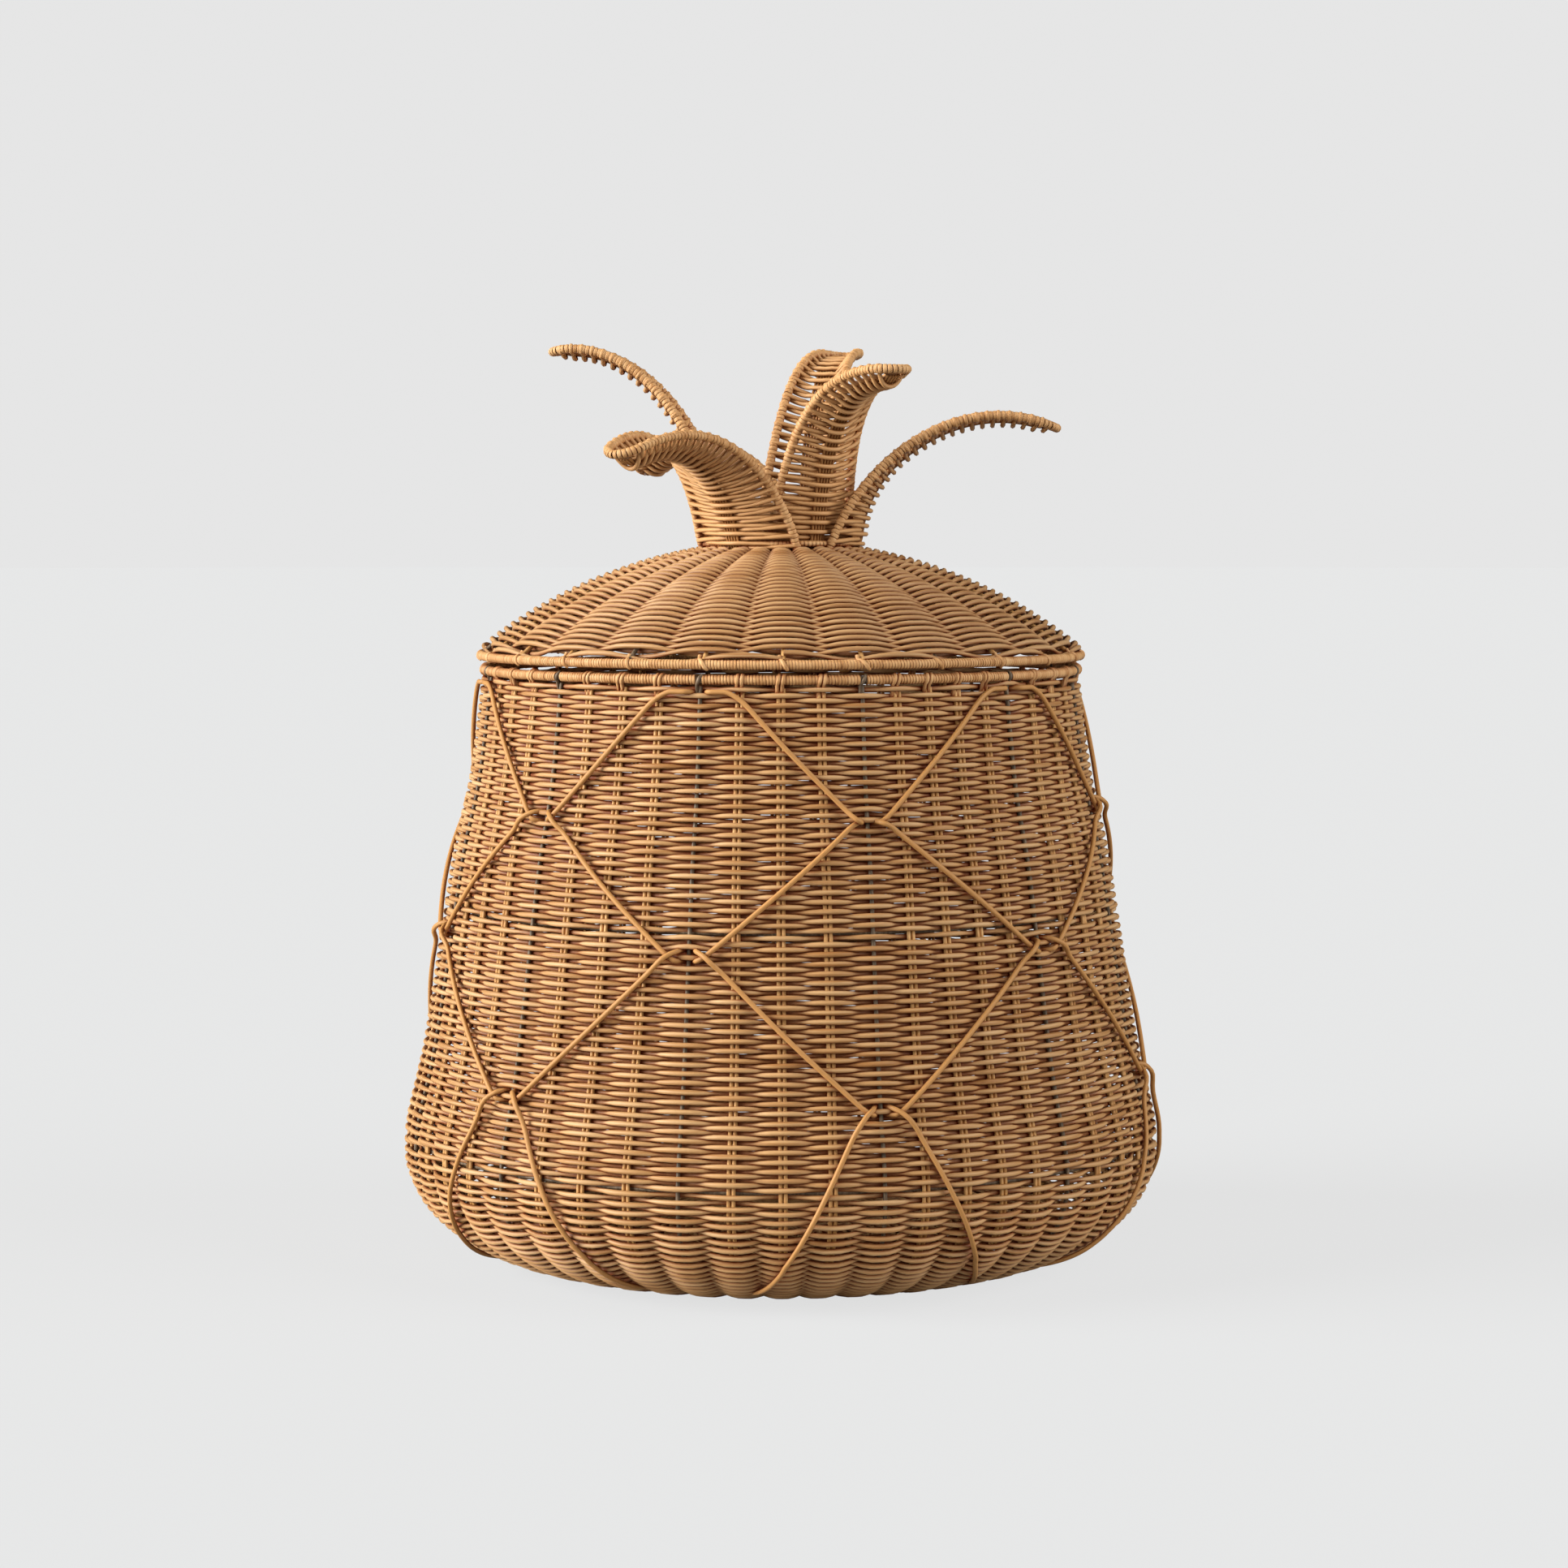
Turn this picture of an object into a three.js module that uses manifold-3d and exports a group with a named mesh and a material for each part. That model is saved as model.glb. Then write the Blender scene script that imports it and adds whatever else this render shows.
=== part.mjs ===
// A lidded basket in the shape of a pineapple, woven from round rattan over a frame of steel wire.
// The pear-shaped body has twelve upright wires and four rings, with woven bands between the rings and
// four zigzag cords that draw a lattice of diamonds on the outside. The domed lid lifts off and carries
// a crown of six arching leaves, each a wire loop bound in cane, with a midrib and a woven blade.
//
// Millimetres, +Z up. The origin is the centre of the flat underside. Azimuths are in degrees from the
// front, which faces -Y, and grow towards +X.

import * as THREE from 'three';
import { mergeVertices } from 'three/addons/utils/BufferGeometryUtils.js';
import Module from 'manifold-3d';

const wasm = await Module();
wasm.setup();

// Clearance between pieces that touch on the real basket
const CLEARANCE = 0.3;

// Outside of the woven wall: its radius at the belly, and how far it is drawn in from there at the
// heights where its curve changes
const BASE_RADIUS = 126;
const BELLY = { radius: 204.6, height: 60 };
const BELLY_TOP = { drawnIn: 0.7, height: 73 };
const FLANK = { drawnIn: 10.1, height: 115 };
const WAIST = { drawnIn: 20.6, height: 181 };
const NECK_IN = { drawnIn: 27.6, height: 224 };
const SHOULDER = { drawnIn: 35.6, height: 259 };
const RIM_WALL = { drawnIn: 42.6, height: 311.5 };
const WALL_THICKNESS = 6.9;

// Steel wire of the body
const UPRIGHTS = 12;
const FRONT_BAYS = 4;
const FRONT_BAY_ANGLE = 31;
const FIRST_UPRIGHT_AZIMUTH = -46.3;

// Stakes of doubled reed stand in each bay between two uprights. The long bay has one more, so that the
// rows of the weave alternate, and the wall is fluted: it swells over each stake.
const GAPS_IN_BAY = 4;
const LONG_BAY = 8;
const FLUTE_DEPTH = 2;

// Wire and rings of the body
const WIRE_RADIUS = 1.1;
const RING_WIRE_RADIUS = 1.2;
const WAIST_RING_HEIGHT = 193;
const BELLY_RING_HEIGHT = 66;
const BASE_RING_INSET = 4;

// Bound ring at the mouth, with a raised lashing at each upright that the lid stands on
const RIM_RING_INSET = 2.4;
const RIM_RING_TUBE = 2.6;
const RIM_OPEN_BAND = 3.3;
const LASHING_HALF_WIDTH = 4.5;
const LASHING_SHOULDER = 2.2;
const LASHING_BUILD_UP = 0.6;

// Lattice cords, by the heights of the rows of nodes that they run between
const CORD_RADIUS = 1.5;
const CORD_STAND_OFF = 0.9;
const CORD_TURN_GAP = 3.3;
const TOP_NODE_DROP = 3;
const NODE_HEIGHTS = [246.6, 181, 105];
const BASE_NODE_HEIGHT = 6.5;
const LEG_END_ANGLE = 10;

// Lid
const LID_GAP = 2.5;
const LID_RING_OVERHANG = 1.6;
const LID_RING_TUBE = 2.5;
const DOME_CURVE_RADIUS = 260;
const DOME_EDGE_INSET = 1.2;
const DOME_SPRING = 4;
const DOME_THICKNESS = 7;
const DOME_STAKES = 25;
const FIRST_STAKE_AZIMUTH = 0.5;
const SPOKE_STAKES = [2, 6, 10, 15, 19, 23];

// Crown: two rings on the dome, and the leaves that stand on them
const OUTER_CROWN_RADIUS = 44;
const INNER_CROWN_RADIUS = 38.2;
const CROWN_RING_TUBE = 2;
const OUTER_LEAF_HALF_ANGLE = 45;
const INNER_LEAF_HALF_ANGLE = 39;
const LEAF_EDGE_RADIUS = 2;
const LEAF_TIP_HALF_WIDTH = 9;
const LEAF_TIP_SHARE = 0.07;
const LEAF_BASE_SHARE = 0.4;
const BLADE_THICKNESS = 2.4;
const MIDRIB_WIDTH = 8.4;
const MIDRIB_THICKNESS = 1.8;

// Each leaf: how far its tip reaches out from its foot and stands over the top of the dome, the lean and
// the length of its rise, the droop and the length of its arch, and how deep its blade is cupped
const OUTER_LEAVES = [
  { name: 'leaf_1', azimuth: -36, reach: 111.5, height: 43.6, rise: [68, 46], arch: [-27, 57], cup: 7 },
  { name: 'leaf_2', azimuth: 85, reach: 117.5, height: 59.8, rise: [68, 47], arch: [-24, 54], cup: 3 },
  { name: 'leaf_3', azimuth: -149, reach: 117.5, height: 39, rise: [68, 47], arch: [-30, 58], cup: 5 },
];
const INNER_LEAVES = [
  { name: 'leaf_4', azimuth: 31, reach: 87.5, height: 87.6, rise: [80, 60], arch: [-2, 55], cup: 6 },
  { name: 'leaf_5', azimuth: 159, reach: 76.3, height: 103.4, rise: [82, 70], arch: [-10, 48], cup: 5 },
  { name: 'leaf_6', azimuth: -95, reach: 94.3, height: 101.6, rise: [80, 60], arch: [-12, 47], cup: 3 },
];

// Finishes
const rattan = new THREE.MeshStandardMaterial({ color: 0xb88a5c, roughness: 0.55, metalness: 0 });
const cane = new THREE.MeshStandardMaterial({ color: 0xc2955f, roughness: 0.5, metalness: 0 });
const steel = new THREE.MeshStandardMaterial({ color: 0x7d7468, roughness: 0.45, metalness: 0.9 });

const degrees = THREE.MathUtils.degToRad;
const basket = new THREE.Group();
const body = new THREE.Group();
const lid = new THREE.Group();
basket.add(body, lid);

function addPiece(parent, name, geometry, material) {
  const mesh = new THREE.Mesh(geometry, material);
  mesh.name = name;
  parent.add(mesh);
  return mesh;
}

// A point at a radius, an azimuth in degrees and a height
function polar(radius, azimuth, height) {
  const angle = degrees(azimuth);
  return new THREE.Vector3(radius * Math.sin(angle), -radius * Math.cos(angle), height);
}

// Closed geometry from points and triangles: shared points are merged, triangles that have shrunk to a
// line at the axis are dropped, and the faces are turned to point outwards
function closedGeometry(points, triangles) {
  const loose = new THREE.BufferGeometry();
  loose.setAttribute('position', new THREE.Float32BufferAttribute(points.flatMap((p) => p.toArray()), 3));
  loose.setIndex(triangles.flat());
  const merged = mergeVertices(loose, 1e-4);
  const index = merged.index.array;
  const place = merged.attributes.position;
  const corner = (i) => new THREE.Vector3().fromBufferAttribute(place, i);
  const kept = [];
  let volume = 0;
  for (let i = 0; i < index.length; i += 3) {
    const [a, b, c] = [index[i], index[i + 1], index[i + 2]];
    if (a === b || b === c || c === a) continue;
    kept.push([a, b, c]);
    volume += corner(a).dot(corner(b).cross(corner(c)));
  }
  merged.setIndex(kept.flatMap(([a, b, c]) => (volume < 0 ? [a, c, b] : [a, b, c])));
  return merged;
}

// A solid swept round the axis through the given azimuths: sectionAt(azimuth) gives its section there as
// [radius, height] pairs, a closed loop, or a line that starts and ends on the axis
function sweptRound(sectionAt, azimuths) {
  const loops = azimuths.map((azimuth) => sectionAt(azimuth).map(([r, z]) => polar(r, azimuth, z)));
  const size = loops[0].length;
  const onAxis = loops[0][0].x === 0 && loops[0][0].y === 0;
  const triangles = [];
  for (let i = 0; i < loops.length; i++) {
    const next = (i + 1) % loops.length;
    for (let j = 0; j < (onAxis ? size - 1 : size); j++) {
      const k = (j + 1) % size;
      const [a, b, c, d] = [i * size + j, next * size + j, next * size + k, i * size + k];
      triangles.push([a, b, c], [a, c, d]);
    }
  }
  return closedGeometry(loops.flat(), triangles);
}

// A curve whose steps go from one of its points to the next, so that they can lie closer in a bend
class PointByPoint extends THREE.CatmullRomCurve3 {
  getUtoTmapping(u) {
    return u;
  }
}

function roundSection(radius, sides) {
  const corners = Array.from({ length: sides }, (_, i) => {
    const angle = (2 * Math.PI * i) / sides;
    return new THREE.Vector2(radius * Math.cos(angle), radius * Math.sin(angle));
  });
  return new THREE.Shape(corners);
}

function barAlong(points, section) {
  const path = new PointByPoint(points);
  const bar = new THREE.ExtrudeGeometry(section, { steps: points.length - 1, extrudePath: path });
  return bareGeometry(bar);
}

function closedTubeAlong(points, radius, sides) {
  const path = new PointByPoint(points, true);
  return bareGeometry(new THREE.TubeGeometry(path, points.length, radius, sides, true));
}

function ringAt(radius, height, tube, sides, segments) {
  return bareGeometry(new THREE.TorusGeometry(radius, tube, sides, segments).translate(0, 0, height));
}

// A library geometry with its shared points merged, and nothing but places
function bareGeometry(geometry) {
  const place = geometry.attributes.position;
  const points = [];
  for (let i = 0; i < place.count; i++) points.push(new THREE.Vector3().fromBufferAttribute(place, i));
  const order = geometry.index ? Array.from(geometry.index.array) : points.map((_, i) => i);
  const triangles = [];
  for (let i = 0; i < order.length; i += 3) triangles.push(order.slice(i, i + 3));
  return closedGeometry(points, triangles);
}

function toSolid(geometry) {
  const vertProperties = new Float32Array(geometry.attributes.position.array);
  const triVerts = new Uint32Array(geometry.index.array);
  return new wasm.Manifold(new wasm.Mesh({ numProp: 3, vertProperties, triVerts }));
}

function toGeometry(solid) {
  const mesh = solid.getMesh();
  const geometry = new THREE.BufferGeometry();
  geometry.setAttribute('position', new THREE.Float32BufferAttribute(mesh.vertProperties, 3));
  geometry.setIndex(Array.from(mesh.triVerts));
  return geometry;
}

// Outline of the wall. Below the belly it is a quarter of an ellipse that runs into the flat base, and
// above the belly a curve through the named places. A place on it is a number: -1 at the base, 0 at the
// belly and 1 at the mouth.
const drawnInPlaces = [BELLY_TOP, FLANK, WAIST, NECK_IN, SHOULDER, RIM_WALL];
const rimWallRadius = BELLY.radius - RIM_WALL.drawnIn;
const upperOutline = new THREE.CatmullRomCurve3(
  [
    new THREE.Vector3(BELLY.radius, 0, BELLY.height),
    ...drawnInPlaces.map((place) => new THREE.Vector3(BELLY.radius - place.drawnIn, 0, place.height)),
  ],
  false,
  'centripetal',
);

function outlineAt(place) {
  if (place <= 0) {
    const angle = (-place * Math.PI) / 2;
    const radius = BASE_RADIUS + (BELLY.radius - BASE_RADIUS) * Math.cos(angle);
    return [radius, BELLY.height * (1 - Math.sin(angle))];
  }
  const point = upperOutline.getPoint(place);
  return [point.x, point.z];
}

// A point at a depth below the outline, square to it
function belowOutline(place, depth) {
  const step = 1e-4;
  const [r, z] = outlineAt(place);
  const [r0, z0] = outlineAt(Math.max(place - step, -1));
  const [r1, z1] = outlineAt(Math.min(place + step, 1));
  const length = Math.hypot(r1 - r0, z1 - z0);
  return [r - (depth * (z1 - z0)) / length, z + (depth * (r1 - r0)) / length];
}

function placeAtHeight(height) {
  let [low, high] = [-1, 1];
  for (let i = 0; i < 40; i++) {
    const middle = (low + high) / 2;
    if (outlineAt(middle)[1] < height) low = middle;
    else high = middle;
  }
  return (low + high) / 2;
}

function valuesBetween(first, last, steps) {
  return Array.from({ length: steps + 1 }, (_, i) => first + ((last - first) * i) / steps);
}

// Upright wires: the bays at the front are a little wider than the rest
const backBayAngle = (360 - FRONT_BAYS * FRONT_BAY_ANGLE) / (UPRIGHTS - FRONT_BAYS);

function uprightAzimuth(index) {
  const front = Math.min(index, FRONT_BAYS);
  return FIRST_UPRIGHT_AZIMUTH + front * FRONT_BAY_ANGLE + (index - front) * backBayAngle;
}

const uprightAzimuths = Array.from({ length: UPRIGHTS }, (_, i) => uprightAzimuth(i));

// Azimuths for a solid swept round the body: at each angle off every upright, on both sides, and mid bay
function azimuthsRoundUprights(...angles) {
  return uprightAzimuths.flatMap((azimuth, i) => [
    ...angles.toReversed().map((angle) => azimuth - angle),
    ...angles.map((angle) => azimuth + angle),
    (azimuth + uprightAzimuth(i + 1)) / 2,
  ]);
}

// Woven bands between the rings, each with its places from its top to its bottom
const ringSlot = RING_WIRE_RADIUS + CLEARANCE;
const bands = [
  { name: 'upper_weave', top: RIM_WALL.height, bottom: WAIST_RING_HEIGHT + ringSlot, steps: 2 },
  { name: 'middle_weave', top: WAIST_RING_HEIGHT - ringSlot, bottom: BELLY_RING_HEIGHT + ringSlot, steps: 2 },
  { name: 'lower_weave', top: BELLY_RING_HEIGHT - ringSlot, bottom: 0, steps: 5 },
].map((band) => {
  const places = valuesBetween(placeAtHeight(band.top), placeAtHeight(band.bottom), band.steps);
  return { name: band.name, isLowest: band.bottom === 0, places };
});
const wallPlaces = bands.flatMap((band) => band.places);

// A point of the wall at a depth below its outside. The wall is straight between its places, and so is
// everything that lies in it or on it.
function wallPoint(place, depth) {
  const next = Math.max(1, wallPlaces.findIndex((lower) => lower <= place));
  const [upper, lower] = [wallPlaces[next - 1], wallPlaces[next]];
  const share = THREE.MathUtils.clamp((upper - place) / (upper - lower), 0, 1);
  const [r0, z0] = belowOutline(upper, depth);
  const [r1, z1] = belowOutline(lower, depth);
  return [r0 + (r1 - r0) * share, z0 + (z1 - z0) * share];
}

// Each band has a groove in its outside for every upright wire
const wireDepth = WALL_THICKNESS / 2;
const grooveDepth = wireDepth + WIRE_RADIUS + CLEARANCE;
const baseRingRadius = BASE_RADIUS - BASE_RING_INSET;
const bandEndRadius = baseRingRadius + ringSlot;
const grooveHalfAngle = THREE.MathUtils.radToDeg(Math.asin((WIRE_RADIUS + CLEARANCE) / bandEndRadius));
const grooveFlare = 0.5;

function isOnUpright(azimuth) {
  return uprightAzimuths.some((upright) => Math.abs(azimuth - upright) < grooveHalfAngle + grooveFlare / 2);
}

// Azimuths between two uprights: the ridge at each stake and the valley in each gap
const bayGaps = uprightAzimuths.map((_, i) => (i === LONG_BAY ? GAPS_IN_BAY + 1 : GAPS_IN_BAY));
const ridgesAndValleys = uprightAzimuths.map((azimuth, i) => {
  return valuesBetween(azimuth, uprightAzimuth(i + 1), 2 * bayGaps[i]).slice(1, -1);
});
const valleys = ridgesAndValleys.flatMap((between) => between.filter((_, i) => i % 2 === 0));
const plainAzimuths = azimuthsRoundUprights(grooveHalfAngle, grooveHalfAngle + grooveFlare);
const flutedAzimuths = ridgesAndValleys.flatMap((between, i) => {
  const edges = [-grooveFlare - grooveHalfAngle, -grooveHalfAngle, grooveHalfAngle, grooveHalfAngle + grooveFlare];
  return [...edges.map((angle) => uprightAzimuths[i] + angle), ...between];
});

for (const band of bands) {
  const section = (azimuth) => {
    const flute = band.isLowest || !valleys.includes(azimuth) ? 0 : FLUTE_DEPTH;
    const depth = isOnUpright(azimuth) ? grooveDepth : flute;
    const outside = band.places.map((place) => wallPoint(place, depth));
    const inside = band.places.map((place) => wallPoint(place, WALL_THICKNESS));
    if (band.isLowest) {
      outside.push([bandEndRadius, depth]);
      inside.push([bandEndRadius, WALL_THICKNESS]);
    }
    return [...outside, ...inside.reverse()];
  };
  addPiece(body, band.name, sweptRound(section, band.isLowest ? plainAzimuths : flutedAzimuths), rattan);
}

const floorRadius = baseRingRadius - ringSlot;
const floorProfile = [[0, 0], [floorRadius, 0], [floorRadius, WALL_THICKNESS], [0, WALL_THICKNESS]];
addPiece(body, 'base_weave', sweptRound(() => floorProfile, azimuthsRoundUprights(grooveHalfAngle)), rattan);

// Rings of the body, inside the uprights, and the base ring that the uprights run down to
const ringDepth = wireDepth + WIRE_RADIUS + CLEARANCE + RING_WIRE_RADIUS;
const RING_SIDES = 4;
const ringAzimuths = azimuthsRoundUprights(grooveHalfAngle);

for (const [name, radius, height] of [
  ['waist_ring', ...wallPoint(placeAtHeight(WAIST_RING_HEIGHT), ringDepth)],
  ['belly_ring', ...wallPoint(placeAtHeight(BELLY_RING_HEIGHT), ringDepth)],
  ['base_ring', baseRingRadius, wireDepth],
]) {
  const wire = roundSection(RING_WIRE_RADIUS, RING_SIDES).getPoints();
  const section = wire.map((corner) => [radius + corner.x, height + corner.y]);
  addPiece(body, name, sweptRound(() => section, ringAzimuths), steel);
}

// Bound rim ring: thicker under each lashing, with a pad on top that the lid ring stands on
const rimRingRadius = rimWallRadius - RIM_RING_INSET;
const lidRingRadius = rimRingRadius + LID_RING_OVERHANG;
const rimHeight = RIM_WALL.height + RIM_OPEN_BAND + RIM_RING_TUBE;
const lashingRise = LID_GAP - CLEARANCE;
const lashingAngle = THREE.MathUtils.radToDeg(LASHING_HALF_WIDTH / rimRingRadius);
const shoulderAngle = THREE.MathUtils.radToDeg(LASHING_SHOULDER / rimRingRadius);
const RIM_SIDES = 6;

function rimSection(azimuth) {
  const halfLashing = lashingAngle + shoulderAngle / 2;
  const onLashing = uprightAzimuths.some((upright) => Math.abs(azimuth - upright) < halfLashing);
  return Array.from({ length: RIM_SIDES }, (_, i) => {
    const angle = Math.PI / 2 + (2 * Math.PI * i) / RIM_SIDES;
    const isTop = i === 0;
    const isBottom = i === RIM_SIDES / 2;
    const extra = onLashing ? (isTop ? lashingRise : isBottom ? 0 : LASHING_BUILD_UP) : 0;
    const shift = onLashing && isTop ? (lidRingRadius - rimRingRadius) / 2 : 0;
    const reach = RIM_RING_TUBE + extra;
    return [rimRingRadius + shift + reach * Math.cos(angle), rimHeight + reach * Math.sin(angle)];
  });
}

addPiece(
  body,
  'rim_ring',
  sweptRound(rimSection, azimuthsRoundUprights(lashingAngle, lashingAngle + shoulderAngle)),
  cane,
);

// Upright wires, from under the rim ring down the wall and under the base to the base ring
const WIRE_SIDES = 4;
const wireTop = rimHeight - RIM_RING_TUBE - CLEARANCE;
const wireLine = [
  [wallPoint(1, wireDepth)[0], wireTop],
  ...wallPlaces.map((place) => wallPoint(place, wireDepth)),
  [bandEndRadius, wireDepth],
];

uprightAzimuths.forEach((azimuth, i) => {
  const points = wireLine.map(([r, z]) => polar(r, azimuth, z));
  addPiece(body, `upright_${i + 1}`, barAlong(points, roundSection(WIRE_RADIUS, WIRE_SIDES)), steel);
});

// Lattice cords. Each zigzags between two rows of nodes, with its tops on every second upright and its
// bottoms on the others. Where two cords meet at a node they hook past each other, and the top of the
// lower one lies over the bottom of the upper one. The legs of the lowest cord end beside the uprights and
// run under the base.
const CORD_SIDES = 5;
const cordDepth = -(CORD_RADIUS + CORD_STAND_OFF);
const hookDepth = cordDepth - 2 * CORD_RADIUS - CLEARANCE;

// Half a wave runs from a top at 0 to the bottom beside it at 1, straight between two rounded turns
const CORD_TURN = 0.13;
const CORD_STEPS = [5, 5, 5, 9];

function dropAcross(x) {
  const slope = 1 / (1 - CORD_TURN);
  const turn = (slope * x ** 2) / (2 * CORD_TURN);
  if (x < CORD_TURN) return turn;
  if (x > 1 - CORD_TURN) return 1 - (slope * (1 - x) ** 2) / (2 * CORD_TURN);
  return slope * (x - CORD_TURN / 2);
}

function hookAcross(x) {
  return 1 - THREE.MathUtils.smoothstep(x, 1.5 * CORD_TURN, 0.4);
}

function halfWaveStages(steps) {
  const straight = (i) => CORD_TURN + ((1 - 2 * CORD_TURN) * i) / (steps - 2);
  return [0, ...Array.from({ length: steps - 1 }, (_, i) => straight(i))];
}

const nodeHeights = [RIM_WALL.height - TOP_NODE_DROP, ...NODE_HEIGHTS, BASE_NODE_HEIGHT];

nodeHeights.slice(0, -1).forEach((topNode, row) => {
  const isFirst = row === 0;
  const isLast = row === nodeHeights.length - 2;
  const top = isFirst ? topNode : topNode + CORD_TURN_GAP;
  const bottom = isLast ? nodeHeights[row + 1] : nodeHeights[row + 1] - CORD_TURN_GAP;
  const points = [];
  for (let i = 0; i < UPRIGHTS; i++) {
    const startsAtTop = i % 2 !== row % 2;
    const bay = uprightAzimuth(i + 1) - uprightAzimuth(i);
    const reach = isLast ? bay - LEG_END_ANGLE : bay;
    const pointAt = (x, angle) => {
      const height = top + (bottom - top) * dropAcross(x);
      const depth = isFirst ? cordDepth : cordDepth + (hookDepth - cordDepth) * hookAcross(x);
      const [r, z] = wallPoint(placeAtHeight(height), depth);
      return polar(r, uprightAzimuth(i) + (startsAtTop ? angle : bay - angle), z);
    };
    const stages = halfWaveStages(CORD_STEPS[row]);
    points.push(...stages.map((stage) => (startsAtTop ? stage : 1 - stage)).map((x) => pointAt(x, reach * x)));
    if (isLast && startsAtTop) points.push(pointAt(1, reach), pointAt(1, bay));
  }
  addPiece(body, `lattice_cord_${row + 1}`, closedTubeAlong(points, CORD_RADIUS, CORD_SIDES), rattan);
});

// Lid ring, bound in cane, and the fluted dome that stands on it
const lidRingHeight = rimHeight + RIM_RING_TUBE + LID_GAP + LID_RING_TUBE;
const LID_RING_SIDES = 6;
const LID_RING_SEGMENTS = 36;
addPiece(
  lid,
  'lid_ring',
  ringAt(lidRingRadius, lidRingHeight, LID_RING_TUBE, LID_RING_SIDES, LID_RING_SEGMENTS),
  cane,
);

const domeFoot = lidRingHeight + LID_RING_TUBE + CLEARANCE;
const domeEdgeRadius = lidRingRadius - DOME_EDGE_INSET;
const domeEdgeHeight = domeFoot + DOME_SPRING;
const domeCentreHeight = domeEdgeHeight - Math.sqrt(DOME_CURVE_RADIUS ** 2 - domeEdgeRadius ** 2);

// Height of the dome at a radius, on a sphere that lies a depth below its outside
function domeHeight(radius, depth = 0) {
  return domeCentreHeight + Math.sqrt((DOME_CURVE_RADIUS - depth) ** 2 - radius ** 2);
}

function domePoint(radius, depth) {
  const share = depth / DOME_CURVE_RADIUS;
  const rise = domeHeight(radius) - domeCentreHeight;
  return [radius * (1 - share), domeCentreHeight + rise * (1 - share)];
}

const DOME_STEPS_PER_FLUTE = 2;
const domeFootOverhang = 1.8;
const crownFloor = OUTER_CROWN_RADIUS + 2 * CROWN_RING_TUBE;
const DOME_STEPS = 3;
const domeRadii = valuesBetween(crownFloor, domeEdgeRadius, DOME_STEPS);

function domeSection(azimuth) {
  const phase = degrees((azimuth - FIRST_STAKE_AZIMUTH) * DOME_STAKES);
  const valley = (FLUTE_DEPTH * (1 - Math.cos(phase))) / 2;
  const outside = domeRadii.map((radius, i) => domePoint(radius, i === 0 ? 0 : valley));
  const inside = domeRadii.map((radius) => domePoint(radius, DOME_THICKNESS)).reverse();
  return [
    [0, domeHeight(0)],
    domePoint(INNER_CROWN_RADIUS, 0),
    ...outside,
    [domeEdgeRadius + domeFootOverhang - valley, domeFoot],
    [inside[0][0], domeFoot],
    ...inside.slice(1),
    [0, domeHeight(0, DOME_THICKNESS)],
  ];
}

const domeAzimuths = Array.from(
  { length: DOME_STAKES * DOME_STEPS_PER_FLUTE },
  (_, i) => FIRST_STAKE_AZIMUTH + (360 * i) / (DOME_STAKES * DOME_STEPS_PER_FLUTE),
);
addPiece(lid, 'lid_weave', sweptRound(domeSection, domeAzimuths), rattan);

// Steel spokes under the dome, from the lid ring to below the crown, in the place of some of its stakes
const spokeDepth = DOME_THICKNESS + CLEARANCE + WIRE_RADIUS;
const spokeLine = [
  ...domeRadii.map((radius) => domePoint(radius, spokeDepth)),
  [lidRingRadius - LID_RING_TUBE - 2 * CLEARANCE, lidRingHeight],
];

SPOKE_STAKES.forEach((stake, i) => {
  const azimuth = FIRST_STAKE_AZIMUTH + (360 * stake) / DOME_STAKES;
  const points = spokeLine.map(([r, z]) => polar(r, azimuth, z));
  addPiece(lid, `lid_spoke_${i + 1}`, barAlong(points, roundSection(WIRE_RADIUS, WIRE_SIDES)), steel);
});

// Crown rings on the top of the dome
const CROWN_RING_SIDES = 5;
const CROWN_RING_SEGMENTS = 24;

function crownRingHeight(radius) {
  const slope = Math.asin(radius / DOME_CURVE_RADIUS);
  return domeHeight(radius) + (CROWN_RING_TUBE + CLEARANCE) / Math.cos(slope);
}

function addCrownRing(name, radius) {
  const height = crownRingHeight(radius);
  addPiece(lid, name, ringAt(radius, height, CROWN_RING_TUBE, CROWN_RING_SIDES, CROWN_RING_SEGMENTS), cane);
}

addCrownRing('crown_ring_outer', OUTER_CROWN_RADIUS);
addCrownRing('crown_ring_inner', INNER_CROWN_RADIUS);

// Leaves. In its own frame a leaf leans towards +X. Its edge line is seen from the side, the blade hangs
// below it as a cup, and its half-width narrows from the chord of the crown ring to the round tip.
const leafTipStart = 1 - LEAF_TIP_SHARE;
const LEAF_STAGES = [0, 0.13, 0.26, 0.39, 0.52, 0.65, 0.79, leafTipStart, 0.97, 0.993];
const BLADE_STAGES = LEAF_STAGES.slice(0, -1);
const BLADE_ACROSS = [-1, -0.5, 0, 0.5, 1];

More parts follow.
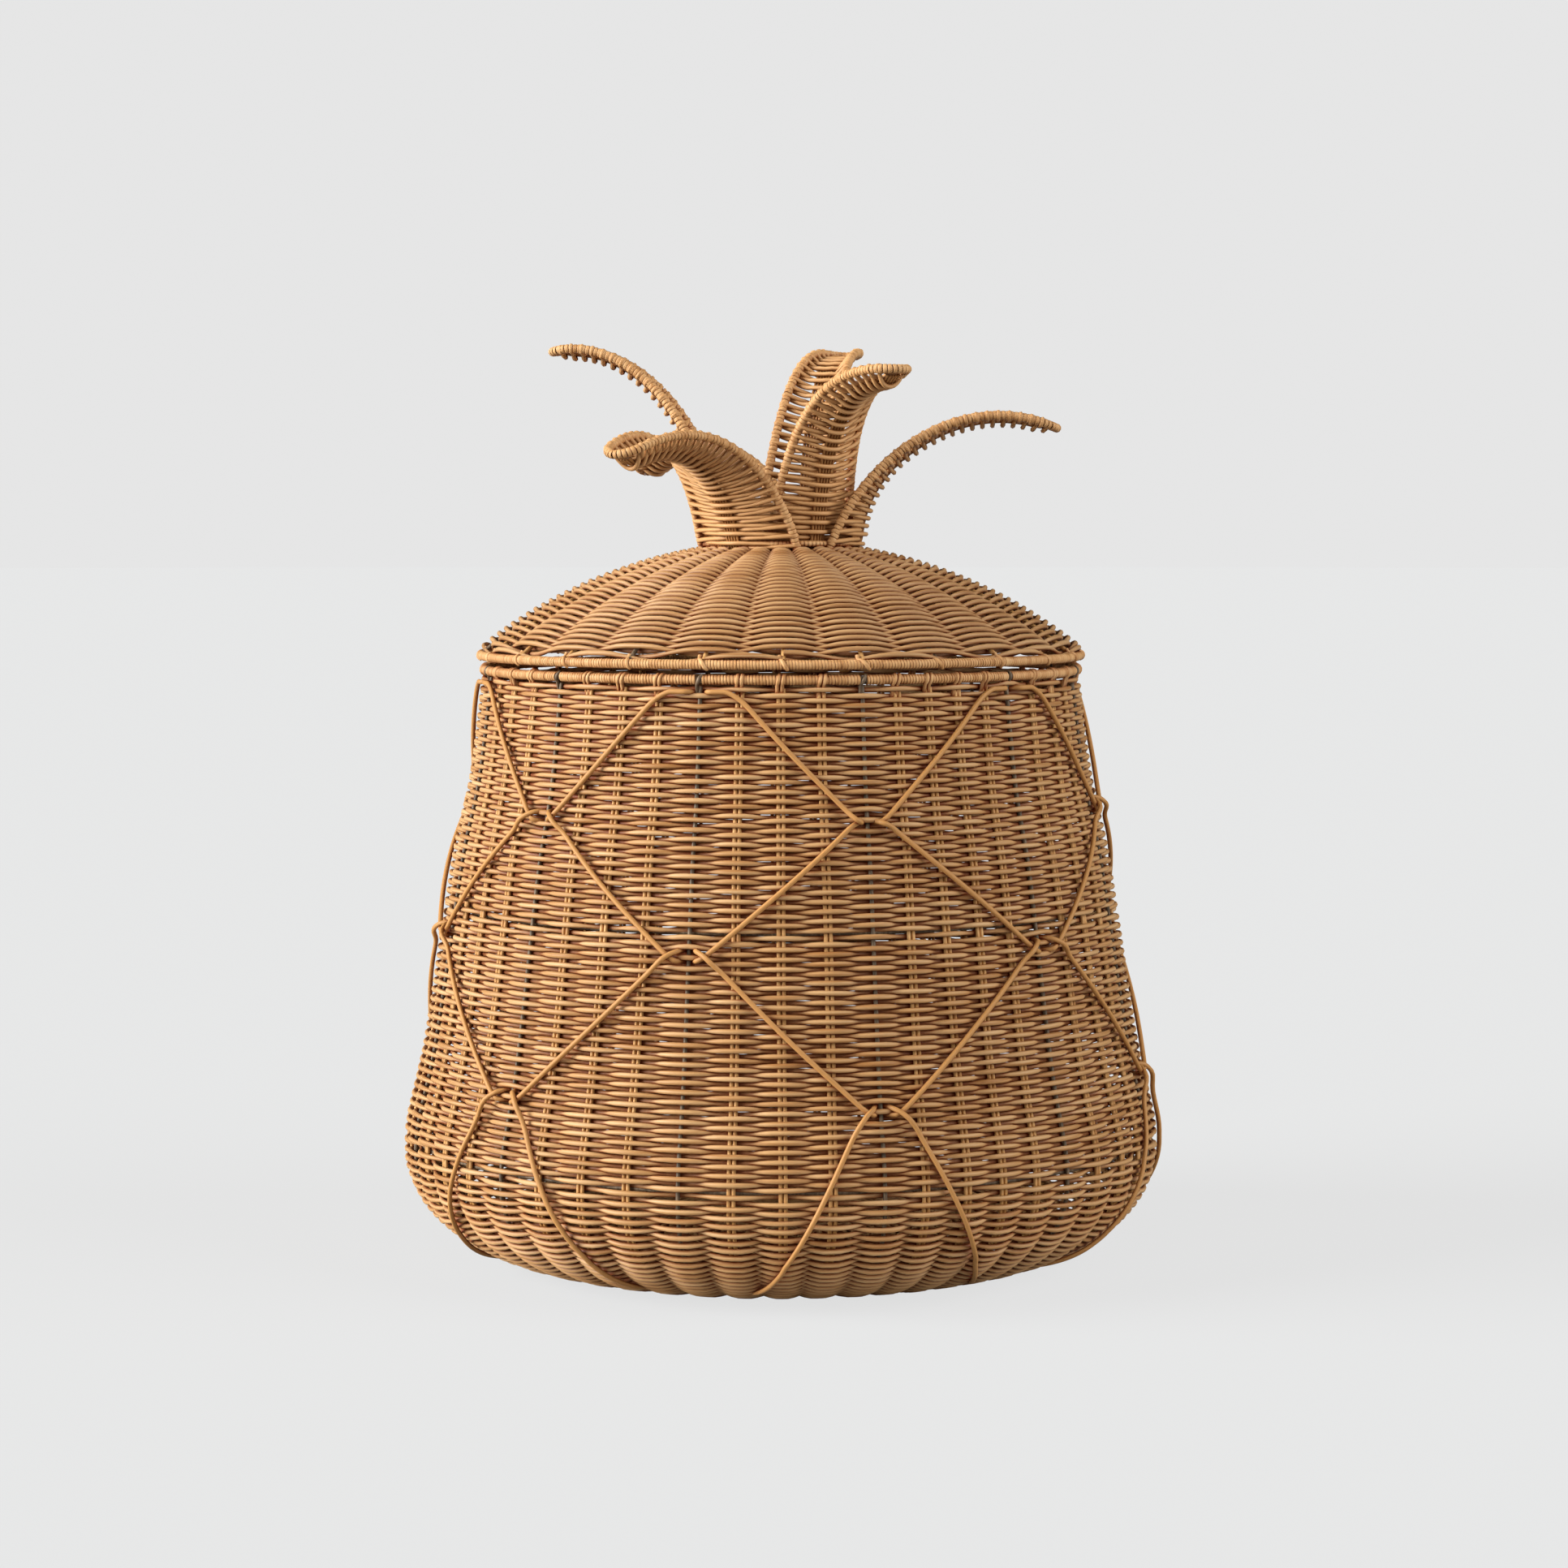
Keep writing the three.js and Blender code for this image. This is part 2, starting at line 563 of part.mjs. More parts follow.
function leafShape(leaf, ringRadius, halfAngle) {
  const baseAngle = degrees(halfAngle);
  const baseHalfWidth = ringRadius * Math.sin(baseAngle);
  const baseCup = ringRadius * (1 - Math.cos(baseAngle));
  const origin = new THREE.Vector2();
  const handle = ([angle, length]) => new THREE.Vector2(length, 0).rotateAround(origin, degrees(angle));
  const ringTop = crownRingHeight(ringRadius) + CROWN_RING_TUBE;
  const foot = ringTop + CLEARANCE + LEAF_EDGE_RADIUS * Math.cos(degrees(leaf.rise[0]));
  const start = new THREE.Vector2(ringRadius * Math.cos(baseAngle), foot);
  const tip = new THREE.Vector2(start.x + leaf.reach, domeHeight(0) + leaf.height);
  const leave = start.clone().add(handle(leaf.rise));
  const arrive = tip.clone().sub(handle(leaf.arch));
  const line = new THREE.CubicBezierCurve(start, leave, arrive, tip);

  // Half-width at a stage, or that of an outline drawn an inset inside the edge line
  const halfWidth = (stage, inset = 0) => {
    const taper = LEAF_TIP_HALF_WIDTH + (baseHalfWidth - LEAF_TIP_HALF_WIDTH) * (1 - stage ** 1.15);
    const tipLength = LEAF_TIP_SHARE * line.getLength() - inset;
    const intoTip = Math.max(0, (stage - leafTipStart) * line.getLength()) / tipLength;
    return (taper - inset) * Math.sqrt(1 - Math.min(1, intoTip) ** 2);
  };
  const cup = (stage) => {
    const fromBase = Math.max(0, 1 - stage / LEAF_BASE_SHARE) ** 2;
    const tipFade = Math.min(1, (1 - stage) / LEAF_TIP_SHARE);
    return (leaf.cup + (baseCup - leaf.cup) * fromBase) * tipFade;
  };
  // The cup hangs level from the base, which is round like the crown ring, and square to the leaf above
  const frame = (stage) => {
    const point = line.getPointAt(stage);
    const along = line.getTangentAt(stage);
    const square = new THREE.Vector2(along.y, -along.x);
    const level = Math.max(0, 1 - stage / LEAF_BASE_SHARE);
    return { point, along, below: square.lerp(new THREE.Vector2(1, 0), level).normalize() };
  };
  // A point of the leaf: stage along it, across from -1 to 1 of the outline at an inset, and off it
  const surface = (stage, across, inset = 0, off = 0) => {
    const { point, below } = frame(stage);
    const half = halfWidth(stage);
    const y = across * halfWidth(stage, inset);
    const share = half > 0 ? y / half : 0;
    const drop = cup(stage) * (1 - share ** 2) + off;
    return new THREE.Vector3(point.x + below.x * drop, y, point.y + below.y * drop);
  };
  return { surface, frame };
}

// A thin closed solid from a grid of points on its two faces
function plateFromGrid(front, back) {
  const rows = front.length;
  const columns = front[0].length;
  const at = (side, i, j) => side * rows * columns + i * columns + j;
  const triangles = [];
  const quad = (a, b, c, d) => triangles.push([a, b, c], [a, c, d]);
  for (let i = 0; i < rows - 1; i++) {
    for (let j = 0; j < columns - 1; j++) {
      quad(at(0, i, j), at(0, i, j + 1), at(0, i + 1, j + 1), at(0, i + 1, j));
      quad(at(1, i, j), at(1, i + 1, j), at(1, i + 1, j + 1), at(1, i, j + 1));
    }
    quad(at(0, i, 0), at(0, i + 1, 0), at(1, i + 1, 0), at(1, i, 0));
    quad(at(0, i, columns - 1), at(1, i, columns - 1), at(1, i + 1, columns - 1), at(0, i + 1, columns - 1));
  }
  for (let j = 0; j < columns - 1; j++) {
    quad(at(0, 0, j), at(1, 0, j), at(1, 0, j + 1), at(0, 0, j + 1));
    quad(at(0, rows - 1, j), at(0, rows - 1, j + 1), at(1, rows - 1, j + 1), at(1, rows - 1, j));
  }
  return closedGeometry([...front.flat(2), ...back.flat(2)], triangles);
}

function strapSection(width, thickness) {
  const [x, y] = [width / 2, thickness / 2];
  return new THREE.Shape([[-x, -y], [x, -y], [x, y], [-x, y]].map(([a, b]) => new THREE.Vector2(a, b)));
}

const EDGE_SIDES = 5;
const bladeInset = LEAF_EDGE_RADIUS + CLEARANCE + 0.2;
const slotOverrun = 4;

function addLeaf(leaf, ringRadius, halfAngle) {
  const { surface, frame } = leafShape(leaf, ringRadius, halfAngle);
  const holder = new THREE.Group();
  holder.rotation.z = degrees(leaf.azimuth - 90);
  lid.add(holder);

  const oneSide = LEAF_STAGES.map((stage) => surface(stage, -1));
  const otherSide = LEAF_STAGES.map((stage) => surface(stage, 1)).reverse();
  const loop = [...oneSide, surface(1, 0), ...otherSide];
  addPiece(holder, `${leaf.name}_edge`, barAlong(loop, roundSection(LEAF_EDGE_RADIUS, EDGE_SIDES)), cane);

  const spine = BLADE_STAGES.slice(0, -1).map((stage) => surface(stage, 0));
  const strap = strapSection(MIDRIB_WIDTH, MIDRIB_THICKNESS);
  addPiece(holder, `${leaf.name}_midrib`, barAlong(spine, strap), rattan);

  const rowOf = (stage, off) => BLADE_ACROSS.map((across) => surface(stage, across, bladeInset, off));
  const face = (off) => BLADE_STAGES.map((stage) => rowOf(stage, off));
  const blade = toSolid(plateFromGrid(face(-BLADE_THICKNESS / 2), face(BLADE_THICKNESS / 2)));
  const before = frame(0).along.multiplyScalar(-slotOverrun);
  const slotStart = spine[0].clone().add(new THREE.Vector3(before.x, 0, before.y));
  const last = spine[spine.length - 1];
  const heading = last.clone().sub(spine[spine.length - 2]).normalize();
  const slotEnd = last.clone().addScaledVector(heading, CLEARANCE);
  const slotWidth = MIDRIB_WIDTH + 2 * CLEARANCE;
  const slot = barAlong([slotStart, ...spine, slotEnd], strapSection(slotWidth, 3 * BLADE_THICKNESS));
  addPiece(holder, `${leaf.name}_weave`, toGeometry(blade.subtract(toSolid(slot))), rattan);
}

OUTER_LEAVES.forEach((leaf) => addLeaf(leaf, OUTER_CROWN_RADIUS, OUTER_LEAF_HALF_ANGLE));
INNER_LEAVES.forEach((leaf) => addLeaf(leaf, INNER_CROWN_RADIUS, INNER_LEAF_HALF_ANGLE));

export default basket;
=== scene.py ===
"""A lidded basket in the shape of a pineapple, woven from round rattan over a frame of steel wire.

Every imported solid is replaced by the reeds, wires or cane that it stands for: long weavers that spiral
round the stakes, the stakes themselves, the bound rings, the zigzag cords and the six leaves of the
crown. Sizes are millimetres until a mesh is made, and azimuths are degrees from the front, which faces
-Y, growing towards +X.
"""

import logging
import math
from bisect import bisect_right
from collections.abc import Iterator
from dataclasses import dataclass, field
from enum import Enum

import bmesh
import bpy
from mathutils import Matrix, Vector, noise

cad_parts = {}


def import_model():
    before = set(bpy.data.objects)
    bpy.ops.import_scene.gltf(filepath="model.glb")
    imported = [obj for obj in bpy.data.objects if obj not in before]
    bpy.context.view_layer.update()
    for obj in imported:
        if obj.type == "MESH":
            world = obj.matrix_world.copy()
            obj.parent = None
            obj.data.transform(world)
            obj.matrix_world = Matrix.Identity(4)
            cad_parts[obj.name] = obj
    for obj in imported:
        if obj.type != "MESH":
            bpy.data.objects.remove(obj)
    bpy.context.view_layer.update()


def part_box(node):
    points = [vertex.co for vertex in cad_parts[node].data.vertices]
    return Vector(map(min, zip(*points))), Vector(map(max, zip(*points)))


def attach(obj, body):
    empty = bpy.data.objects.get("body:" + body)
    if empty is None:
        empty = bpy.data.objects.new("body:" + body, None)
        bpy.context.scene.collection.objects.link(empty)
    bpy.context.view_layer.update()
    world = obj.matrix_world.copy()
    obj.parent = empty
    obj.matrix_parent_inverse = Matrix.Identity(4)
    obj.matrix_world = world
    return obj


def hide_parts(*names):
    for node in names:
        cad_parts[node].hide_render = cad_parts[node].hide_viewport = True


MM = 0.001
NODE_HEIGHTS = (308.5, 246.6, 181.0, 105.0)
log = logging.getLogger("basket")

Colour = tuple[float, float, float]
Socket = bpy.types.NodeSocket
Inputs = dict[str | int, object]
WHITE: Colour = (1.0, 1.0, 1.0)


def polar(radius: float, azimuth: float, height: float) -> Vector:
    """A point at a radius and an azimuth round the basket's axis."""
    angle = math.radians(azimuth)
    return Vector((radius * math.sin(angle), -radius * math.cos(angle), height))


def circle(radius: float, height: float) -> list[Vector]:
    """Points all the way round the basket's axis."""
    return [polar(radius, 3 * i, height) for i in range(120)]


def between(first: float, last: float) -> float:
    """The angle between two azimuths, from 0 to 180."""
    return abs((first - last + 180) % 360 - 180)


def mix(first: float, last: float, share: float) -> float:
    """The value a share of the way from first to last."""
    return first + (last - first) * share


def smooth(value: float, low: float, high: float) -> float:
    """A soft step from 0 at low to 1 at high."""
    share = min(1.0, max(0.0, (value - low) / (high - low)))
    return share * share * (3 - 2 * share)


def flutter(seed: float, place: float) -> float:
    """A repeatable wander, mostly within 1 either way, at a place along the line that a seed names."""
    return 2 * noise.noise(Vector((place, seed * 7.31, 3.7 + seed * 0.13)))


def round_noise(azimuth: float, fineness: float, along: float) -> float:
    """A wander along the wall or dome, mostly within 0.5 either way, that closes on itself all round."""
    angle = math.radians(azimuth)
    return noise.noise(Vector((fineness * math.sin(angle), fineness * math.cos(angle), along)))


def running_lengths(line: list[Vector]) -> list[float]:
    """The length along a line up to each of its points.

    Args:
        line: the line's points.

    Returns:
        the lengths, from 0 to the whole line's.
    """
    lengths = [0.0]
    for before, after in zip(line, line[1:]):
        lengths.append(lengths[-1] + (after - before).length)
    return lengths


def find_step(lengths: list[float], distance: float) -> tuple[int, float]:
    """The step of a line that a distance falls in, or its end step, and the share of the step passed."""
    i = min(max(bisect_right(lengths, distance) - 1, 0), len(lengths) - 2)
    return i, (distance - lengths[i]) / (lengths[i + 1] - lengths[i])


class NodeSheet:
    """A node tree, with short methods for the nodes that the finishes and the studio use."""

    def __init__(self, tree: bpy.types.NodeTree) -> None:
        """Takes the tree."""
        self.tree = tree

    def fill(self, node: bpy.types.Node, inputs: Inputs) -> bpy.types.Node:
        """Joins a node's inputs to sockets, or sets them to values.

        Args:
            node: the node.
            inputs: a socket or a value by the name or the number of each input.

        Returns:
            the node.
        """
        for name, value in inputs.items():
            if isinstance(value, Socket):
                self.tree.links.new(value, node.inputs[name])
            else:
                node.inputs[name].default_value = value
        return node

    def add(self, kind: str, inputs: Inputs | None = None) -> bpy.types.Node:
        """A new node of a kind, with its inputs filled."""
        return self.fill(self.tree.nodes.new(kind), inputs or {})

    def place(self, source: str, scale: tuple[float, float, float]) -> Socket:
        """Coordinates from a source output, scaled to noise cells per metre or per unit of the map."""
        inputs = {"Scale": scale, "Vector": self.add("ShaderNodeTexCoord").outputs[source]}
        return self.add("ShaderNodeMapping", inputs).outputs["Vector"]

    def noise(self, vector: Socket, scale: float, detail: float, rough: float) -> Socket:
        """A noise value at the coordinates, with finer layers as many as detail and as strong as rough."""
        inputs = {"Scale": scale, "Detail": detail, "Roughness": rough, "Vector": vector}
        return self.add("ShaderNodeTexNoise", inputs).outputs["Fac"]

    def ramp(self, value: Socket, stops: tuple[tuple[float, Colour], ...]) -> Socket:
        """A colour ramp over a value.

        Args:
            value: the value from 0 to 1.
            stops: places and colours, in order.

        Returns:
            the colour.
        """
        node = self.add("ShaderNodeValToRGB", {"Fac": value})
        elements = node.color_ramp.elements
        while len(elements) < len(stops):
            elements.new(0.5)
        for element, (place, colour) in zip(elements, stops):
            element.position = place
            element.color = (*colour, 1.0)
        return node.outputs["Color"]

    def openness(self, reach: float) -> Socket:
        """How open a place is, from 0 in the deepest recess to 1.

        Args:
            reach: how far away, in metres, another surface still counts.

        Returns:
            the openness.
        """
        node = self.add("ShaderNodeAmbientOcclusion", {"Distance": reach})
        node.samples = 6
        return node.outputs["AO"]

    def multiply(self, first: Socket, second: Socket, share: float) -> Socket:
        """One colour darkened by a share of another.

        Args:
            first: the colour.
            second: what it is multiplied by.
            share: how much of that shows.

        Returns:
            the darker colour.
        """
        node = self.add("ShaderNodeMix")
        node.data_type = "RGBA"
        node.blend_type = "MULTIPLY"
        return self.fill(node, {"Factor": share, "A": first, "B": second}).outputs["Result"]

    def span(self, value: Socket, low: float, high: float) -> Socket:
        """A value from 0 to 1 spread from low to high."""
        inputs = {"To Min": low, "To Max": high, "Value": value}
        return self.add("ShaderNodeMapRange", inputs).outputs["Result"]

    def bump(self, value: Socket, strength: float, depth: float) -> Socket:
        """A bump from a height of 0 to 1, with its strength and its depth in metres."""
        inputs = {"Strength": strength, "Distance": depth, "Height": value}
        return self.add("ShaderNodeBump", inputs).outputs["Normal"]

    def show(self, kind: str, seen: Socket, others: Socket) -> None:
        """Ends the tree in a surface that camera rays see as one shader and all other rays as another.

        Args:
            kind: the output node's kind.
            seen: the shader for camera rays.
            others: the shader for all other rays.
        """
        rays = self.add("ShaderNodeLightPath")
        mixer = self.add("ShaderNodeMixShader", {0: rays.outputs["Is Camera Ray"], 1: others, 2: seen})
        self.add(kind, {"Surface": mixer.outputs[0]})


class Finish:
    """A finish that makes its material once.

    Args:
        name: the material's name.
        slot: the record's material slot; not used.
    """

    name: str
    slot: str

    def material(self) -> bpy.types.Material:
        """The finish as a node material, made once.

        Returns:
            the material.
        """
        made = bpy.data.materials.get(self.name)
        if not made:
            made = bpy.data.materials.new(self.name)
            made.use_nodes = True
            sheet = NodeSheet(made.node_tree)
            sheet.fill(made.node_tree.nodes["Principled BSDF"], self.coat(sheet))
        return made

    def coat(self, sheet: NodeSheet) -> Inputs:
        """What goes into each input of the material's shader."""
        raise NotImplementedError


class Grain(Enum):
    """Which way the fibres of a rattan piece run."""

    ROUND = "round the axis"
    UPRIGHT = "up the wall"
    ALONG = "along the strand"


@dataclass(frozen=True)
class RattanFinish(Finish):
    """Natural rattan with lengthwise fibres, tone that changes from reed to reed, and a clear satin.

    Args:
        name: the material's name.
        light, middle, dark: colours of the pale, usual and brown reeds.
        grain: which way the fibres run.
        slot: the record's material slot; not used.
        recess: what the colour is multiplied by in the deepest recess, as painted shade.
        strand_length: length of a strand in metres, where the fibres run along it.
        reed_pitch: how far apart the reeds lie in metres, for tone that changes from reed to reed.
        gloss: strength of the sheen.
    """

    name: str
    light: Colour
    middle: Colour
    dark: Colour
    grain: Grain
    slot: str = "rattan_weave"
    recess: Colour = (0.36, 0.09, 0.008)
    strand_length: float = 1.0
    reed_pitch: float = 0.0025
    gloss: float = 0.22

    def coat(self, sheet: NodeSheet) -> Inputs:
        """The reeds' tone, darkened by streaks, specks and painted recess shade, over fine lengthwise
        fibres.

        Args:
            sheet: the node sheet to add its nodes to.

        Returns:
            what goes into each input of the material's shader.
        """
        fibres, tone = self._coordinates(sheet)
        tone_noise = sheet.noise(tone, 1.0, 2.0, 0.6)
        fibre_noise = sheet.noise(fibres, 1.0, 4.0, 0.65)
        speck_noise = sheet.noise(tone, 3.1, 3.0, 0.7)
        tones = ((0.30, self.dark), (0.47, self.middle), (0.70, self.light))
        streaks = sheet.ramp(fibre_noise, ((0.30, (0.74, 0.68, 0.60)), (0.55, WHITE)))
        specks = sheet.ramp(speck_noise, ((0.24, (0.66, 0.55, 0.44)), (0.34, WHITE)))
        # Painted shade: where ambient occlusion finds other surfaces close by, the colour is darkened
        # towards the recess colour.
        recess_shade = sheet.ramp(sheet.openness(0.005), ((0.36, self.recess), (0.88, WHITE)))
        colour = sheet.ramp(tone_noise, tones)
        for darker, share in ((streaks, 0.75), (specks, 0.8), (recess_shade, 1.0)):
            colour = sheet.multiply(colour, darker, share)
        return {
            "Base Color": colour,
            "Roughness": sheet.span(fibre_noise, 0.42, 0.62),
            "Normal": sheet.bump(fibre_noise, 0.35, 0.00012),
            "Specular IOR Level": self.gloss,
        }

    def _coordinates(self, sheet: NodeSheet) -> tuple[Socket, Socket]:
        """Coordinates of the fibres and of the tone, stretched along the strand.

        Args:
            sheet: the node sheet to add them to.

        Returns:
            the fibres' coordinates and the tone's.
        """
        fine, coarse, patch, stake = 3600, 45, 9, 240
        along = self.strand_length
        if self.grain is Grain.ROUND:
            tone = (patch, patch, 1 / self.reed_pitch)
            return sheet.place("Object", (coarse, coarse, fine)), sheet.place("Object", tone)
        if self.grain is Grain.UPRIGHT:
            return sheet.place("Object", (fine, fine, coarse)), sheet.place("Object", (stake, stake, patch))
        return sheet.place("UV", (patch, coarse * along, 1)), sheet.place("UV", (0.4, 16 * along, 1))


@dataclass(frozen=True)
class WireFinish(Finish):
    """Drawn steel wire, dull brown, with faint marks.

    Args:
        name: the material's name.
        light, dark: its colours.
        slot: the record's material slot; not used.
    """

    name: str = "drawn_wire"
    light: Colour = (0.19, 0.125, 0.078)
    dark: Colour = (0.06, 0.037, 0.021)
    slot: str = "steel_wire"

    def coat(self, sheet: NodeSheet) -> Inputs:
        """Two tones of brown and a slight roughness, in small marks.

        Args:
            sheet: the node sheet to add its nodes to.

        Returns:
            what goes into each input of the material's shader.
        """
        marks = sheet.noise(sheet.place("Object", (900, 900, 160)), 1.0, 4.0, 0.6)
        return {
            "Base Color": sheet.ramp(marks, ((0.35, self.dark), (0.65, self.light))),
            "Roughness": sheet.span(marks, 0.38, 0.6),
            "Normal": sheet.bump(marks, 0.2, 0.00005),
            "Specular IOR Level": 0.2,
        }


# Weaker painted shade in the recesses of the leaves and their ribs.
PALE_RECESS_SHADE = (0.52, 0.36, 0.22)

BODY_REED = RattanFinish(
    "rattan_body", (0.520, 0.306, 0.146), (0.440, 0.230, 0.092), (0.325, 0.142, 0.044), Grain.ROUND
)
# Painted light: stakes are written paler than the weavers and with weaker recess shade, to look lit between
# the rows.
STAKE_REED_PAINTED_LIGHT = RattanFinish(
    "rattan_stakes", (0.620, 0.360, 0.155), (0.500, 0.270, 0.102), (0.370, 0.170, 0.056), Grain.UPRIGHT,
    recess=(0.95, 0.80, 0.60),
)
LID_REED = RattanFinish(
    "rattan_lid", (0.477, 0.276, 0.133), (0.410, 0.215, 0.089), (0.298, 0.132, 0.044), Grain.ROUND,
    reed_pitch=0.0018,
)
CORD_REED = RattanFinish(
    "rattan_cord", (0.515, 0.256, 0.087), (0.421, 0.195, 0.060), (0.318, 0.132, 0.038), Grain.ALONG,
    strand_length=1.6,
)
LEAF_REED = RattanFinish(
    "rattan_leaf", (0.630, 0.366, 0.172), (0.534, 0.272, 0.108), (0.379, 0.166, 0.056), Grain.ALONG,
    strand_length=2.6, recess=PALE_RECESS_SHADE,
)
RIB_REED = RattanFinish(
    "rattan_ribs", (0.551, 0.287, 0.110), (0.444, 0.211, 0.072), (0.319, 0.135, 0.040), Grain.ALONG,
    strand_length=0.16, recess=PALE_RECESS_SHADE,
)
BINDING_CANE = RattanFinish(
    "split_cane", (0.615, 0.352, 0.160), (0.520, 0.264, 0.104), (0.383, 0.172, 0.058), Grain.UPRIGHT,
    slot="cane_binding",
)
WIRE = WireFinish()


@dataclass
class Strands:
    """The reeds, wires or cords of one piece, each a tube along a line of points in millimetres.

    Args:
        name: the piece's name.
        radius: radius of a tube.
        sides: sides of a tube, an even number from 4.
    """

    name: str
    radius: float
    sides: int = 6

    def __post_init__(self) -> None:
        """Starts an empty curve."""
        self.curve = bpy.data.curves.new(self.name, "CURVE")
        self.curve.dimensions = "3D"
        self.curve.bevel_depth = self.radius * MM
        self.curve.bevel_resolution = (self.sides - 4) // 2
        self.curve.use_fill_caps = True
        self.curve.twist_mode = "MINIMUM"

    def add(self, points: list[Vector], closed: bool = False, widths: list[float] | None = None) -> None:
        """Adds a tube.

        Args:
            points: the line that it follows.
            closed: whether its end joins its start.
            widths: its radius at each point as a share of the piece's radius.
        """
        spline = self.curve.splines.new("POLY")
        spline.points.add(len(points) - 1)
        flat: list[float] = []
        for point in points:
            flat.extend((point.x * MM, point.y * MM, point.z * MM, 1.0))
        spline.points.foreach_set("co", flat)
        spline.points.foreach_set("radius", widths or [1.0] * len(points))
        spline.use_cyclic_u = closed

    def dress(self, finish: Finish, body: str, *nodes: str) -> None:
        """Makes the tubes one smooth piece.

        Args:
            finish: its finish.
            body: the body that it rides on.
            nodes: the nodes that it replaces.
        """
        holder = bpy.data.objects.new(self.name, self.curve)
        bpy.context.collection.objects.link(holder)
        made = bpy.data.meshes.new_from_object(holder.evaluated_get(bpy.context.evaluated_depsgraph_get()))
        bpy.data.objects.remove(holder)
        made.name = self.name
        add_piece(made, finish, body, *nodes)


def add_piece(mesh: bpy.types.Mesh, finish: Finish, body: str, *nodes: str) -> None:
    """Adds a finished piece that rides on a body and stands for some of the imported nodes.

    Args:
        mesh: its mesh, in place, with the piece's name.
        finish: its finish.
        body: the body that it rides on.
        nodes: the nodes that it replaces.
    """
    mesh.shade_smooth()
    piece = bpy.data.objects.new(mesh.name, mesh)
    bpy.context.collection.objects.link(piece)
    mesh.materials.clear()
    mesh.materials.append(finish.material())
    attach(piece, body)
    if nodes:
        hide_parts(*nodes)
    log.info("%s: %d faces on %s", mesh.name, len(mesh.polygons), body)


def middle_height(node: str) -> float:
    """Height of the middle of a node's box in millimetres."""
    low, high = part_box(node)
    return (low[2] + high[2]) / 2 / MM


def weave_lens(share: float) -> float:
    """How far a reed swings between two stakes, from 1 at the one to -1 at the other."""
    return 1 - 2 * smooth(share, 0.1, 0.9)


def weave_width(share: float) -> float:
    """How wide a reed shows between two stakes: full over each, pinched where the rows cross."""
    return 0.8 + 0.2 * abs(weave_lens(share)) ** 0.8


def weave_steps(gaps: int, steps: int) -> Iterator[tuple[int, float, float]]:
    """The steps of a weaver that passes the stakes in turn.

    Args:
        gaps: how many gaps between stakes it passes.
        steps: how many steps it takes in a gap.

    Returns:
        for each step its gap, its share of that gap, and its swing from 1 outward to -1 inward.
    """
    for gap in range(gaps):
        for step in range(steps):
            share = step / steps
            yield gap, share, weave_lens(share) * (1 if gap % 2 == 0 else -1)


